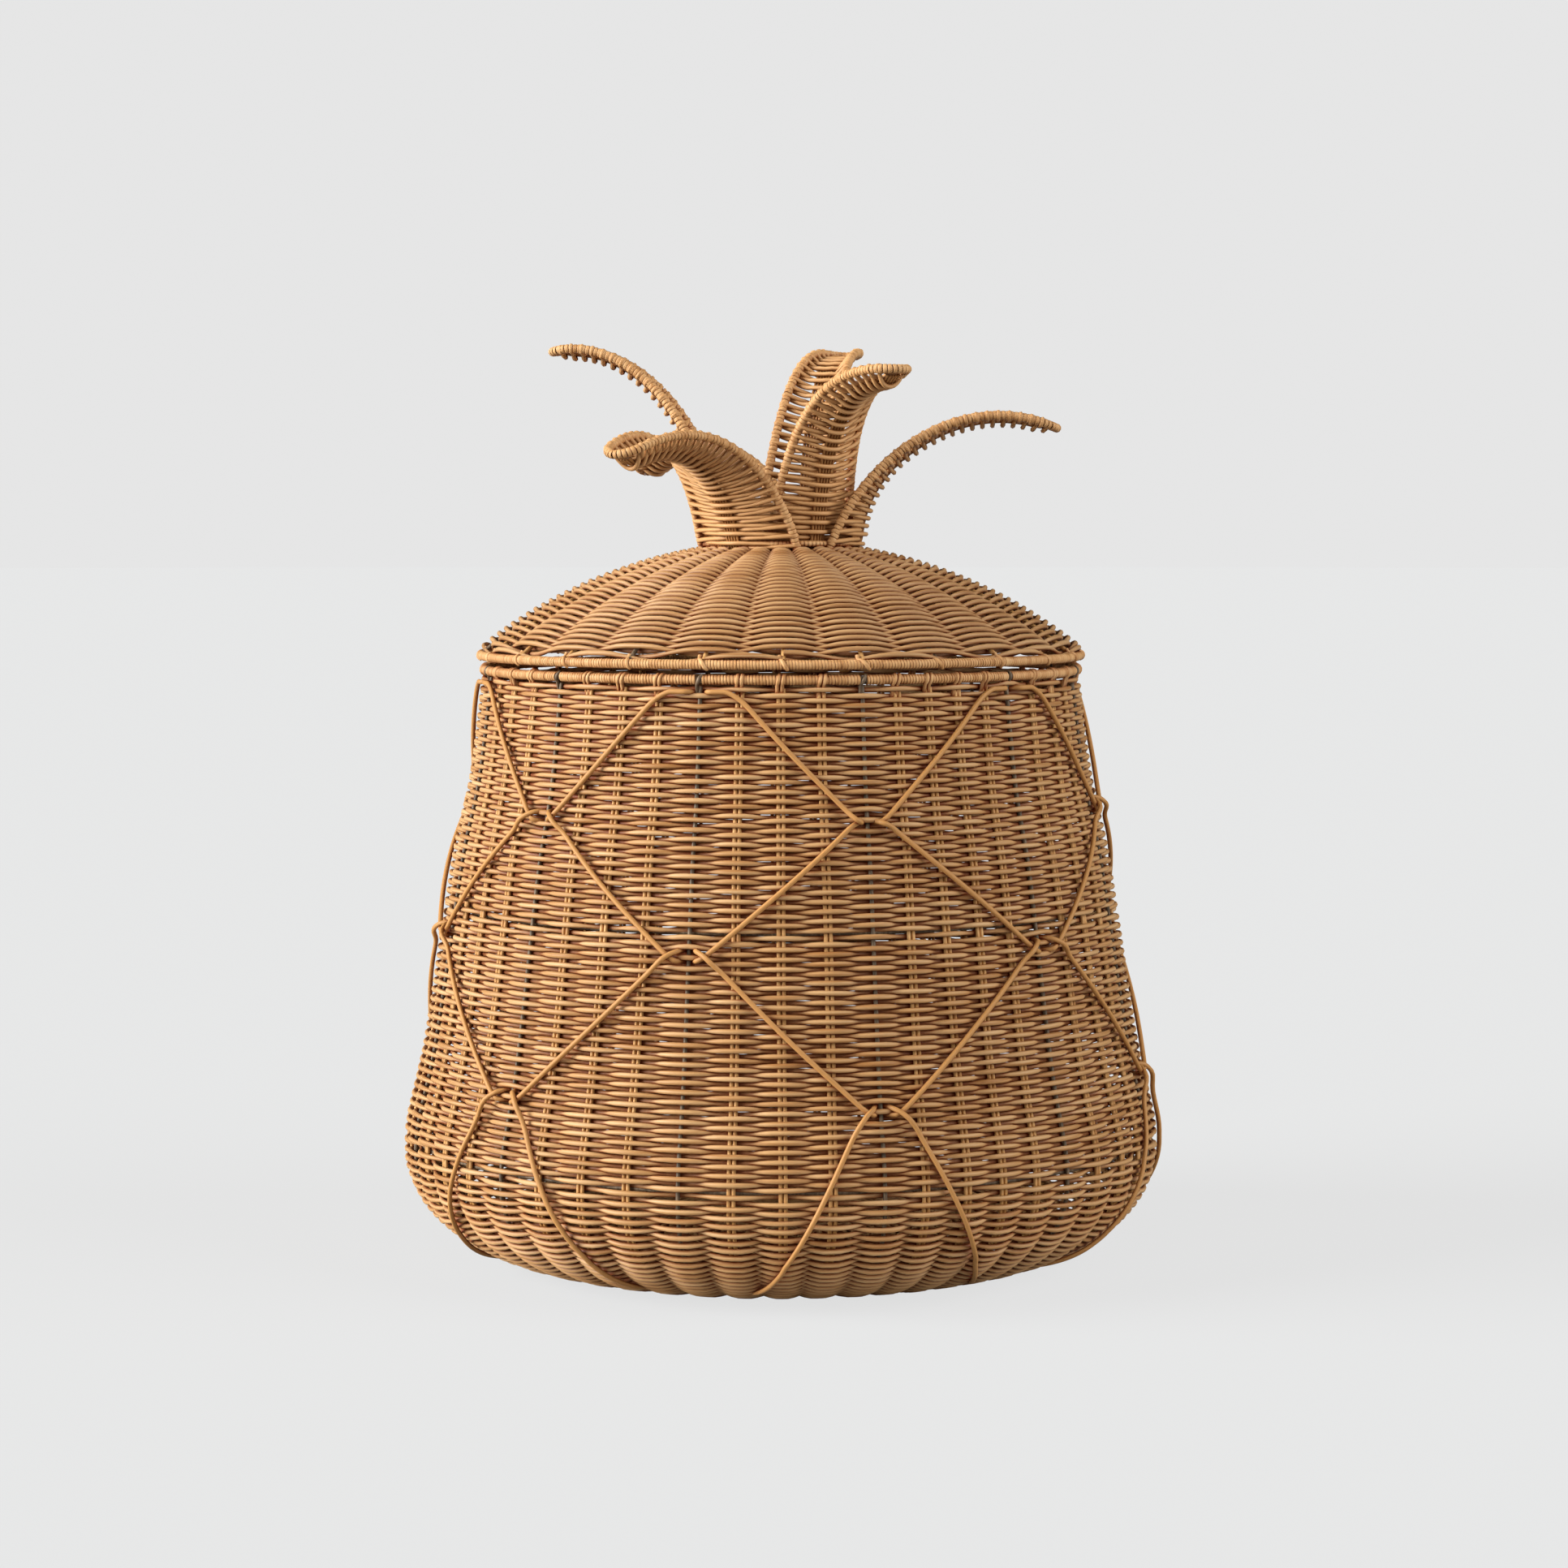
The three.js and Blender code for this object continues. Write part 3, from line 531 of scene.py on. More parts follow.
@dataclass
class WallLine:
    """The outline of the woven wall, as places along it from the mouth down to the middle of the base.

    Args:
        base_radius: radius of the flat base.
        upper: radii and heights of the wall from the belly, its widest place, to the mouth.
        step: how far apart the stored places lie.
        places: radius, height and outward direction of each stored place.
        lengths: length along the outline from the mouth to each.
    """

    base_radius: float = 126.0
    upper: tuple[tuple[float, float], ...] = (
        (204.6, 60.0),
        (203.9, 73.0),
        (194.5, 115.0),
        (184.0, 181.0),
        (177.0, 224.0),
        (169.0, 259.0),
        (162.0, 311.5),
    )
    step: float = 2.0
    places: list[tuple[float, float, float, float]] = field(init=False)
    lengths: list[float] = field(init=False)

    def __post_init__(self) -> None:
        """Stores the outline with its directions."""
        line = [Vector(point) for point in self._upper_line()]
        line += [Vector(point) for point in self._heel_line()]
        line.append(Vector((0.0, 0.0)))
        self.lengths = running_lengths(line)
        self.places = []
        for i, point in enumerate(line):
            along = line[min(i + 1, len(line) - 1)] - line[max(i - 1, 0)]
            along.normalize()
            self.places.append((point.x, point.y, -along.y, along.x))

    def _upper_line(self) -> list[tuple[float, float]]:
        """A centripetal curve through the places above the belly, from the mouth down.

        Returns:
            its radii and heights.
        """
        given = [Vector(point) for point in reversed(self.upper)]
        knots = [2 * given[0] - given[1], *given, 2 * given[-1] - given[-2]]
        line: list[tuple[float, float]] = []
        for p0, p1, p2, p3 in zip(knots, knots[1:], knots[2:], knots[3:]):
            t1 = math.sqrt((p1 - p0).length)
            t2 = t1 + math.sqrt((p2 - p1).length)
            t3 = t2 + math.sqrt((p3 - p2).length)
            count = max(2, round((p2 - p1).length / self.step))
            for i in range(count):
                t = mix(t1, t2, i / count)
                a1 = p0.lerp(p1, t / t1)
                a2 = p1.lerp(p2, (t - t1) / (t2 - t1))
                a3 = p2.lerp(p3, (t - t2) / (t3 - t2))
                b1 = a1.lerp(a2, t / t2)
                b2 = a2.lerp(a3, (t - t1) / (t3 - t1))
                line.append(tuple(b1.lerp(b2, (t - t1) / (t2 - t1))))
        return line

    def _heel_line(self) -> list[tuple[float, float]]:
        """A quarter of an ellipse from the belly into the flat base.

        Returns:
            its radii and heights.
        """
        radius, height = self.upper[0]
        count = 60
        line = []
        for i in range(count + 1):
            angle = math.pi / 2 * i / count
            out = (radius - self.base_radius) * math.cos(angle)
            line.append((self.base_radius + out, height * (1 - math.sin(angle))))
        return line

    def at(self, place: float, depth: float) -> tuple[float, float]:
        """Radius and height of a point below the outside of the wall.

        Args:
            place: length along the outline from the mouth.
            depth: how far below the outside it lies.

        Returns:
            its radius and its height.
        """
        i, share = find_step(self.lengths, place)
        r0, z0, nr0, nz0 = self.places[i]
        r1, z1, nr1, nz1 = self.places[i + 1]
        outward = (mix(nr0, nr1, share), mix(nz0, nz1, share))
        return mix(r0, r1, share) - depth * outward[0], mix(z0, z1, share) - depth * outward[1]

    def place_at_height(self, height: float) -> float:
        """The place on the wall at a height.

        Args:
            height: the height.

        Returns:
            length along the outline from the mouth.
        """
        low, high = 0.0, self.lengths[-2]
        for _ in range(40):
            middle = (low + high) / 2
            if self.at(middle, 0)[1] > height:
                low = middle
            else:
                high = middle
        return low

    def place_at_radius(self, radius: float) -> float:
        """The place on the flat base at a radius."""
        return self.lengths[-1] - radius


@dataclass
class StakeRound:
    """The stakes round the body: steel wires with doubled reeds between them.

    Args:
        wires: how many wires.
        first_wire: azimuth of the first.
        front_bays: how many bays at the front are wider.
        front_bay: angle of such a bay.
        gaps: gaps between the stakes of a bay.
        long_bay: the bay that has one gap more, so that the weaver alternates from row to row.
        set_by_hand: how far the first wires stand from their even places.
        lean: how far a reed leans from its even place.
        azimuths: azimuth of every stake.
        wire_marks: whether each is a wire.
    """

    wires: int = 12
    first_wire: float = -46.3
    front_bays: int = 4
    front_bay: float = 31.0
    gaps: int = 4
    long_bay: int = 2
    set_by_hand: tuple[float, ...] = (1.2, 0.6, -0.8)
    lean: float = 0.3
    azimuths: list[float] = field(init=False)
    wire_marks: list[bool] = field(init=False)

    def __post_init__(self) -> None:
        """Works out every stake's azimuth."""
        self.azimuths = []
        self.wire_marks = []
        for bay in range(self.wires):
            first, last = self.wire(bay), self.wire(bay + 1)
            gaps = self.gaps + (1 if bay == self.long_bay else 0)
            for i in range(gaps):
                self.azimuths.append(mix(first, last, i / gaps))
                self.wire_marks.append(i == 0)

    def wire(self, index: int) -> float:
        """Azimuth of a steel wire.

        Args:
            index: the wire's number, which may go on past one turn.

        Returns:
            its azimuth.
        """
        back_bay = (360 - self.front_bays * self.front_bay) / (self.wires - self.front_bays)
        front = min(index, self.front_bays)
        number = index % self.wires
        stray = self.set_by_hand[number] if number < len(self.set_by_hand) else 0.0
        return self.first_wire + front * self.front_bay + (index - front) * back_bay + stray

    def azimuth(self, count: int, place: float) -> float:
        """Azimuth of a stake at a place down the wall, with the lean that reeds have.

        Args:
            count: the stake's number, which may go on past one turn.
            place: length along the outline from the mouth.

        Returns:
            its azimuth, which goes on past 360 with the number.
        """
        turn, index = divmod(count, len(self.azimuths))
        lean = 0.0 if self.wire_marks[index] else self.lean * flutter(index + 0.5, place / 140)
        return self.azimuths[index] + lean + 360 * turn


@dataclass
class Body:
    """The body of the basket: its woven bands, stakes, wires, rings and floor.

    Args:
        wall: the outline of the wall.
        stakes: the stakes round it.
        reed_radius: radius of the weaver.
        row_pitch: how far apart its rows lie.
        stake_depth: how far below the outside the stakes lie.
        swing: how far the weaver swings out and in from the stakes' line.
        stake_reed_radius: radius of a reed of a doubled stake.
        stake_spread: how far such a reed lies beside the stake's middle.
        wire_radius: radius of the upright wires.
        ring_wire_radius: radius of the wire rings.
        slot_reach: half the slot between two bands, where a ring lies.
        steps: points of the weaver between two stakes.
        seam: the stake where the rows start and end.
        node_heights: heights where a cord is tucked behind a wire.
        part: how far the rows part there.
        part_reach: how far from such a place, along the wall or round it, rows still part.
        mouth: place of the wall's top edge.
        heel_radius: radius on the base where the lowest band ends.
        full_radius: radius of the wall from which the weaver swings all the way.
        swing_loss: how quickly it swings less where the wall is narrower.
        stake_rise: how far the stakes rise to the outside for each millimetre of swing lost.
        wire_ends, stake_ends: place where the wires and the stakes start, and radius where they end.
        floor_parts: outer radius, inner radius and number of spokes of each part of the floor.
    """

    wall: WallLine
    stakes: StakeRound
    reed_radius: float = 1.4
    row_pitch: float = 2.37
    stake_depth: float = 3.9
    swing: float = 2.75
    stake_reed_radius: float = 1.1
    stake_spread: float = 1.2
    wire_radius: float = 1.1
    ring_wire_radius: float = 1.2
    slot_reach: float = 0.4
    steps: int = 6
    seam: int = 24
    node_heights: tuple[float, ...] = NODE_HEIGHTS
    part: float = 1.3
    part_reach: float = 16.0
    mouth: float = -2.8
    heel_radius: float = 124.5
    full_radius: float = 187.0
    swing_loss: float = 2.8
    stake_rise: float = 0.8
    wire_ends: tuple[float, float] = (-3.0, 122.0)
    stake_ends: tuple[float, float] = (-2.0, 118.0)
    floor_parts: tuple[tuple[float, float, int], ...] = ((119.4, 44.0, 25), (44.0, 9.0, 13))

    def build(self) -> None:
        """Builds every piece of the body."""
        self.node_places = [self.wall.place_at_height(height) for height in self.node_heights]
        waist = self.wall.place_at_height(middle_height("waist_ring"))
        belly = self.wall.place_at_height(middle_height("belly_ring"))
        heel = self.wall.place_at_radius(self.heel_radius)
        side = self._weave("upper_weave", self.mouth, waist - self.slot_reach, 1)
        side = self._weave("middle_weave", waist + self.slot_reach, belly - self.slot_reach, side)
        self._weave("lower_weave", belly + self.slot_reach, heel, side)
        self._uprights()
        self._rings()
        self._base()

    def _row_shift(self, azimuth: float, place: float) -> float:
        """How far a row strays from its even place, with the way it parts round a tucked cord.

        Args:
            azimuth: where it is round the basket.
            place: its even place down the wall.

        Returns:
            how far down the wall it strays.
        """
        wander = 0.6 * round_noise(azimuth, 2.2, place / 16)
        fine = 0.36 * round_noise(azimuth, 9, place / 4)
        return wander + fine + self._parting(azimuth, place)

    def _parting(self, azimuth: float, place: float) -> float:
        """How far a row is pushed along the wall by the cords that are tucked behind a wire.

        Args:
            azimuth: where it is round the basket.
            place: its even place down the wall.

        Returns:
            how far down the wall it is pushed.
        """
        usual_radius, half_width = 180, 7.5
        rise, fall_start, fall = (1.5, 4.5), 4, 5
        for row, node_place in enumerate(self.node_places):
            away = place - node_place
            if abs(away) > self.part_reach:
                continue
            for wire in range(1 - row % 2, self.stakes.wires, 2):
                beside = math.radians(between(azimuth, self.stakes.wire(wire))) * usual_radius
                if beside < self.part_reach:
                    push = smooth(abs(away), *rise) * math.exp(-max(0.0, abs(away) - fall_start) / fall)
                    return math.copysign(self.part * push * math.exp(-((beside / half_width) ** 2)), away)
        return 0.0

    def _row_point(self, gap: int, share: float, place: float, side: int) -> Vector:
        """A point of the weaver between two stakes.

        Args:
            gap: number of the stake before it.
            share: how far it is to the next stake.
            place: its even place down the wall.
            side: 1 where it passes over the stake before it, or -1 behind it.

        Returns:
            the point.
        """
        azimuth = mix(self.stakes.azimuth(gap, place), self.stakes.azimuth(gap + 1, place), share)
        place += self._row_shift(azimuth, place)
        swing, depth = self._swing(place)
        radius, height = self.wall.at(place, depth - side * swing * weave_lens(share))
        return polar(radius, azimuth, height)

    def _weave(self, node: str, first: float, last: float, side: int) -> int:
        """One band of the wall in two pieces: weavers that spiral down between two level closing rows.

        Args:
            node: the band's node.
            first: the place of its top edge.
            last: the place of its bottom edge.
            side: which side of the first stake its top row passes, 1 for outside and -1 for inside.

        Returns:
            the side for the top row of the band below.
        """
        count = len(self.stakes.azimuths)
        upper = Strands(f"{node}_reed_1", self.reed_radius, 8)
        lower = Strands(f"{node}_reed_2", self.reed_radius, 8)
        top, bottom = first + self.reed_radius, last - self.reed_radius
        inset = 0.75 * self.row_pitch
        rows = round((bottom - top - 2 * inset) / self.row_pitch)
        pitch = (bottom - top - 2 * inset) / rows
        lines = [(row * count, top + inset + row * pitch, pitch) for row in range(rows)]
        self._run(upper, [(0, top, 0.0)], side)
        self._run(upper, lines[: rows // 2], -side)
        self._run(lower, lines[rows // 2 :], -side)
        last_side = -side if (rows - 1) * count % 2 == 0 else side
        self._run(lower, [(0, bottom, 0.0)], -last_side)
        upper.dress(BODY_REED, "basket", node)
        lower.dress(BODY_REED, "basket")
        return last_side

    def _swing(self, place: float) -> tuple[float, float]:
        """How far the rows swing at a place, and how deep the stakes lie there.

        Both are less where the wall is narrow.
        """
        swing = self.swing * min(1.0, self.wall.at(place, 0)[0] / self.full_radius) ** self.swing_loss
        return swing, self.stake_depth - self.stake_rise * (self.swing - swing)

    def _run(self, weaver: Strands, turns: list[tuple[int, float, float]], side: int) -> None:
        """A weaver that goes round the stakes once or more.

        Args:
            weaver: the strands to add it to.
            turns: for each turn the stakes passed before it, its place at its start, and how far it drops.
            side: which side of the first stake it passes.
        """
        count = len(self.stakes.azimuths)
        points, widths = [], []
        for passed, place, drop in turns:
            for gap in range(count):
                now = side if (passed + gap) % 2 == 0 else -side
                for step in range(self.steps):
                    share = step / self.steps
                    dropped = place + drop * (gap + share) / count
                    points.append(self._row_point(self.seam + gap, share, dropped, now))
                    stray = 0.06 * flutter(place * 0.37, gap * 0.43 + share * 0.43)
                    widths.append(weave_width(share) * (1 + stray))
        points.append(self._row_point(self.seam + count, 0.0, place + drop, -now))
        weaver.add(points, widths=widths + [1.0])

    def _wall_line(self, stake: int, first: float, last: float, side: float = 0.0) -> list[Vector]:
        """Points of a stake down the wall.

        Args:
            stake: its number.
            first: the place where it starts.
            last: the place where it ends.
            side: how far it lies beside the stake's middle.

        Returns:
            its points.
        """
        step = 7
        count = max(2, round((last - first) / step))
        points = []
        for i in range(count + 1):
            place = mix(first, last, i / count)
            radius, height = self.wall.at(place, self._swing(place)[1])
            azimuth = self.stakes.azimuth(stake, place) + math.degrees(side / radius)
            points.append(polar(radius, azimuth, height))
        return points

    def _uprights(self) -> None:
        """The steel wires and the doubled reeds between them, from the mouth to the base."""
        reeds = Strands("stake_reeds", self.stake_reed_radius)
        wires = Strands("upright_wires", self.wire_radius, 8)
        for stake, is_wire in enumerate(self.stakes.wire_marks):
            first, end_radius = self.wire_ends if is_wire else self.stake_ends
            last = self.wall.place_at_radius(end_radius)
            if is_wire:
                wires.add(self._wall_line(stake, first, last))
                continue
            for side in (-self.stake_spread, self.stake_spread):
                reeds.add(self._wall_line(stake, first, last, side))
        reeds.dress(STAKE_REED_PAINTED_LIGHT, "basket")
        wires.dress(WIRE, "basket", *(f"upright_{i + 1}" for i in range(self.stakes.wires)))

    def _rings(self) -> None:
        """The waist ring and the belly ring inside the uprights, and the base ring at their feet."""
        gap = 0.3
        inner = self.stake_depth + self.wire_radius + gap + self.ring_wire_radius
        for node in ("waist_ring", "belly_ring"):
            place = self.wall.place_at_height(middle_height(node))
            self._ring(node, self.wall.at(place, inner)[0])
        self._ring("base_ring", self.wire_ends[1])

    def _ring(self, node: str, radius: float) -> None:
        """A wire ring in place of its node.

        Args:
            node: the ring's node.
            radius: its radius.
        """
        ring = Strands(f"{node}_wire", self.ring_wire_radius, 8)
        ring.add(circle(radius, middle_height(node)), closed=True)
        ring.dress(WIRE, "basket", node)

    def _base(self) -> None:
        """The woven floor: a spiral on ever fewer spokes, and the spokes themselves."""
        weaver = Strands("base_reed", self.reed_radius)
        spokes = Strands("base_spokes", self.stake_reed_radius)
        clearance, overhang, reach_in, hub = 0.05, 1.5, 4, 4.5
        height = self.swing + self.reed_radius + clearance
        for outer, inner, count in self.floor_parts:
            gaps = count * round((outer - inner) / self.row_pitch)
            points = []
            for gap, share, swing in weave_steps(gaps, self.steps):
                radius = mix(outer, inner, (gap + share) / gaps)
                points.append(polar(radius, 360 * (gap + share) / count, height - self.swing * swing))
            weaver.add(points)
            spoke_radii = [mix(outer + overhang, max(inner - reach_in, hub), i / 6) for i in range(7)]
            for spoke in range(count):
                azimuth = 360 * spoke / count
                for shift in (-self.stake_spread, self.stake_spread):
                    spokes.add([polar(r, azimuth + math.degrees(shift / r), height) for r in spoke_radii])
        weaver.dress(BODY_REED, "basket", "base_weave")
        spokes.dress(STAKE_REED_PAINTED_LIGHT, "basket")


@dataclass
class Lattice:
    """The four zigzag cords on the outside of the wall, tucked behind the wires at their nodes.

    Args:
        wall: the outline of the wall.
        stakes: the stakes, whose wires hold the nodes.
        radius: radius of a cord.
        stand_off: gap between a cord and the wall.
        turn_gap: how far a turn lies from its node's height.
        tight_gap: the same at the one node whose cords run on across each other.
        heights: heights of the rows of nodes, and of the last cord's feet.
        rim_rise: how far the first cord's turns rise over their nodes under the rim.
        top_turns: share of each cord's half wave that is rounded at its top.
        bottom_turn: the same at its bottom.
        tuck_depth: how deep the cord lies behind a wire.
        leg_end: angle beside its wire where a leg of the lowest cord goes in under the base.
        foot_radius: radius where it does.
        leg_slack: how far the leg strays from the taut line towards an even turn, from 0 to 1.
        leg_sink: distances from its end where the leg lies deepest and where it starts to sink.
        steps: points of a half wave.
    """

    wall: WallLine
    stakes: StakeRound
    radius: float = 1.3
    stand_off: float = 0.35
    turn_gap: float = 3.1
    tight_gap: float = 0.8
    heights: tuple[float, ...] = (*NODE_HEIGHTS, 6.5)
    rim_rise: float = 4.6
    top_turns: tuple[float, ...] = (0.31, 0.13, 0.13, 0.16)
    bottom_turn: float = 0.12
    tuck_depth: float = 6.6
    leg_end: float = 0.5
    foot_radius: float = 127.0
    leg_slack: float = 0.55
    leg_sink: tuple[float, float] = (6.0, 44.0)
    steps: int = 56

    def build(self) -> None:
        """Builds the four cords."""
        for row in range(len(self.heights) - 1):
            self._cord(row)

    def _drop(self, row: int, x: float) -> float:
        """How far down a half wave has come: rounded, then straight, then rounded.

        Args:
            row: which cord it is.
            x: how far it is from its top to its bottom, from 0 to 1.

        Returns:
            the share of the way down.
        """
        begin, end = self.top_turns[row], self.bottom_turn
        power = 3.0 if row == 0 else 2.4
        slope = 1 / (1 - begin * (1 - 1 / power) - end / 2)
        if x < begin:
            return slope * begin / power * (x / begin) ** power
        if x > 1 - end:
            return 1 - slope * (1 - x) ** 2 / (2 * end)
        return slope * (x - begin * (1 - 1 / power))

    def _gap(self, level: int, wire: int) -> float:
        """How far the turns lie above and below their node.

        Args:
            level: the node's row, 0 for the one under the rim.
            wire: the node's wire.

        Returns:
            the distance from the node's height.
        """
        if level == 1 and wire % self.stakes.wires == 2:
            return self.tight_gap
        return self.turn_gap + 0.6 * flutter(level * 7.3, wire * 1.7)

    def _depth(self, beside: float, crossing: float, is_over: bool) -> float:
        """How deep a cord lies: over the cord that it crosses, then behind the wire.

        Args:
            beside: distance from the wire where it turns.
            crossing: distance from that wire where it crosses another cord.
            is_over: whether it passes over that cord.

        Returns:
            the depth below the outside of the wall.
        """
        outside = -(self.radius + self.stand_off)
        hump_height, hump_length = 2.2 * self.radius, 4.5
        if is_over:
            outside -= hump_height * math.exp(-(((beside - crossing) / hump_length) ** 2))
        return mix(self.tuck_depth, outside, smooth(beside, 1.4, 6.0))

    def _taut_leg(self, top: float, span: float) -> list[float]:
        """Places of the taut line over the heel, which lies flatter as the wall draws in.

        Args:
            top: height of its start.
            span: the angle that it goes round.

        Returns:
            its places at even angles.
        """
        first, last = self.wall.place_at_height(top), self.wall.place_at_radius(self.foot_radius)
        length = (last - first) / self.steps
        radii = [self.wall.at(first + (i + 0.5) * length, 0)[0] for i in range(self.steps)]
        low, high = 0.0, 0.99 * min(radii)
        angles: list[float] = []
        for _ in range(24):
            pull = (low + high) / 2
            angles = [0.0]
            for radius in radii:
                turn = pull * length / (radius * math.sqrt(radius**2 - pull**2))
                angles.append(angles[-1] + math.degrees(turn))
            low, high = (low, pull) if angles[-1] > span else (pull, high)
        even = [angles[-1] * i / self.steps for i in range(self.steps + 1)]
        angles = [mix(angle, turn, self.leg_slack) for angle, turn in zip(angles, even)]
        places, i = [], 0
        for step in range(self.steps + 1):
            angle = angles[-1] * step / self.steps
            while i < self.steps - 1 and angles[i + 1] < angle:
                i += 1
            share = (angle - angles[i]) / (angles[i + 1] - angles[i])
            places.append(first + (i + share) * length)
        return places

    def _cord(self, row: int) -> None:
        """One closed zigzag.

        Args:
            row: which cord it is, from the top.
        """
        near, far = 6, 12
        is_last = row == len(self.heights) - 2
        points = []
        for i in range(self.stakes.wires):
            falls = i % 2 != row % 2
            first, last = self.stakes.wire(i), self.stakes.wire(i + 1)
            high, low = (i, i + 1) if falls else (i + 1, i)
            top_gap, low_gap = self._gap(row, high), self._gap(row + 1, low)
            top = self.heights[row] + (self.rim_rise if row == 0 else top_gap)
            bottom = self.heights[row + 1] - (0 if is_last else low_gap)
            reach = (last - first - (self.leg_end if is_last else 0)) / (last - first)
            leg = self._taut_leg(top, reach * (last - first)) if is_last else []
            for step in range(self.steps):
                share = step / self.steps
                from_top = share if falls else 1 - share
                drop = self._drop(row, min(1.0, from_top / reach))
                stray = 0.5 * flutter(row * 12 + i + 0.3, share * 2)
                place = self.wall.place_at_height(mix(top, bottom, drop) + stray)
                if is_last:
                    whole = min(int(drop * self.steps), self.steps - 1)
                    place = mix(leg[whole], leg[whole + 1], drop * self.steps - whole)
                around, height = self.wall.at(place, 0)
                arc = math.radians(last - first) * around
                beside_top, beside_low = from_top * arc, (reach - from_top) * arc
                tight_top, tight_low = top_gap == self.tight_gap, low_gap == self.tight_gap
                if beside_top < beside_low:
                    is_over = row > 0 and (falls or not tight_top)
                    depth = self._depth(beside_top, near if tight_top else far, is_over)
                elif is_last:
                    outside = -(self.radius + self.stand_off)
                    depth = mix(self.tuck_depth - 1, outside, smooth(beside_low, *self.leg_sink))
                else:
                    depth = self._depth(beside_low, near, falls and tight_low)
                radius, z = self.wall.at(place, depth)
                if not is_last or beside_top < beside_low:
                    radius, z = self.wall.at(self.wall.place_at_height(2 * height - z), depth)
                points.append(polar(radius, mix(first, last, share), max(z, self.radius + 0.1)))
        node = f"lattice_cord_{row + 1}"
        cord = Strands(f"{node}_reed", self.radius, 8)
        cord.add(points, closed=True)
        cord.dress(CORD_REED, "basket", node)


@dataclass
class BoundRing:
    """A ring of wire bound edge to edge in flat cane.

    Args:
        node: the ring's node.
        body: the body that it rides on.
        radius: radius of the ring.
        height: height of its middle.
        tube: radius of the binding.
        wrap_width: width of the cane.
        bare: azimuths where the binding parts and a wire hooks over the ring.
        bare_half: half the width of such a parting.
        hook_radius: radius of a hooked wire.
        loops: azimuths where the end of a reed stake is turned over the ring.
        loop_radius: radius of such an end.
        doubled: whether the reeds come in pairs.
        loop_sweep: angles round the ring's middle where a turned end starts and stops.
        loop_slant: how far it lies aslant over the ring.
        tail: how far its tail lies outside the ring's middle line, and over it.
    """

    node: str
    body: str
    radius: float
    height: float
    tube: float
    wrap_width: float = 1.62
    bare: tuple[float, ...] = ()
    bare_half: float = 1.2
    hook_radius: float = 1.0
    loops: tuple[float, ...] = ()
    loop_radius: float = 1.15
    doubled: bool = True
    loop_sweep: tuple[float, float] = (-70.0, 150.0)
    loop_slant: float = 0.7
    tail: tuple[float, float] = (-1.2, -9.5)

    def _loop(self, azimuth: float, reach: float, sweep: tuple[float, float], seed: float) -> list[Vector]:
        """A stake's end turned over the ring, with its tail.

        Args:
            azimuth: where it is.
            reach: its distance from the middle of the ring.
            sweep: angles about the ring's middle where the turn starts and ends, 0 outward and 90 upward.
            seed: its own number, for its slant.

        Returns:
            its points, from the tail on.
        """
        slant = math.degrees(self.loop_slant * (1 + 0.8 * flutter(seed, 0.5)) / self.radius)
        points = [polar(self.radius + self.tail[0], azimuth - slant, self.height + self.tail[1])]
        for i in range(9):
            share = i / 8
            angle = math.radians(mix(*sweep, share))
            out = self.radius + reach * math.cos(angle)
            turn = azimuth + mix(-slant, slant, share)
            points.append(polar(out, turn, self.height + reach * math.sin(angle)))
        return points

    def build(self) -> None:
        """Builds the core, its binding, and the stakes' ends that are turned over it."""
        if self.loops:
            loops = Strands(f"{self.node}_loops", self.loop_radius)
            beside = math.degrees(self.loop_radius / self.radius)
            for i, azimuth in enumerate(self.loops):
                for side in (-beside, beside) if self.doubled else (0.0,):
                    loops.add(self._loop(azimuth + side, self.tube - 0.3, self.loop_sweep, i + 0.4))
            loops.dress(BINDING_CANE, self.body)
        if self.bare:
            hooks = Strands(f"{self.node}_hooks", self.hook_radius, 8)
            for i, azimuth in enumerate(self.bare):
                hooks.add(self._loop(azimuth, self.tube * 0.8, (-75.0, 80.0), i + 0.4))
            hooks.dress(WIRE, self.body)
        core = Strands(f"{self.node}_core", self.tube * 0.72, 8)
        core.add(circle(self.radius, self.height), closed=True)
        core.dress(WIRE, self.body)
        count = round(2 * math.pi * self.radius / self.wrap_width)
        frames = []
        for i in range(count):
            azimuth = 360 * i / count
            gap = min((between(azimuth, bare) for bare in self.bare), default=180.0)
            if math.radians(gap) * self.radius >= self.bare_half:
                frames.append((polar(self.radius, azimuth, self.height), polar(1, azimuth + 90, 0)))
        wound = wrap_mesh(f"{self.node}_binding", frames, self.tube, self.wrap_width)
        add_piece(wound, BINDING_CANE, self.body, self.node)


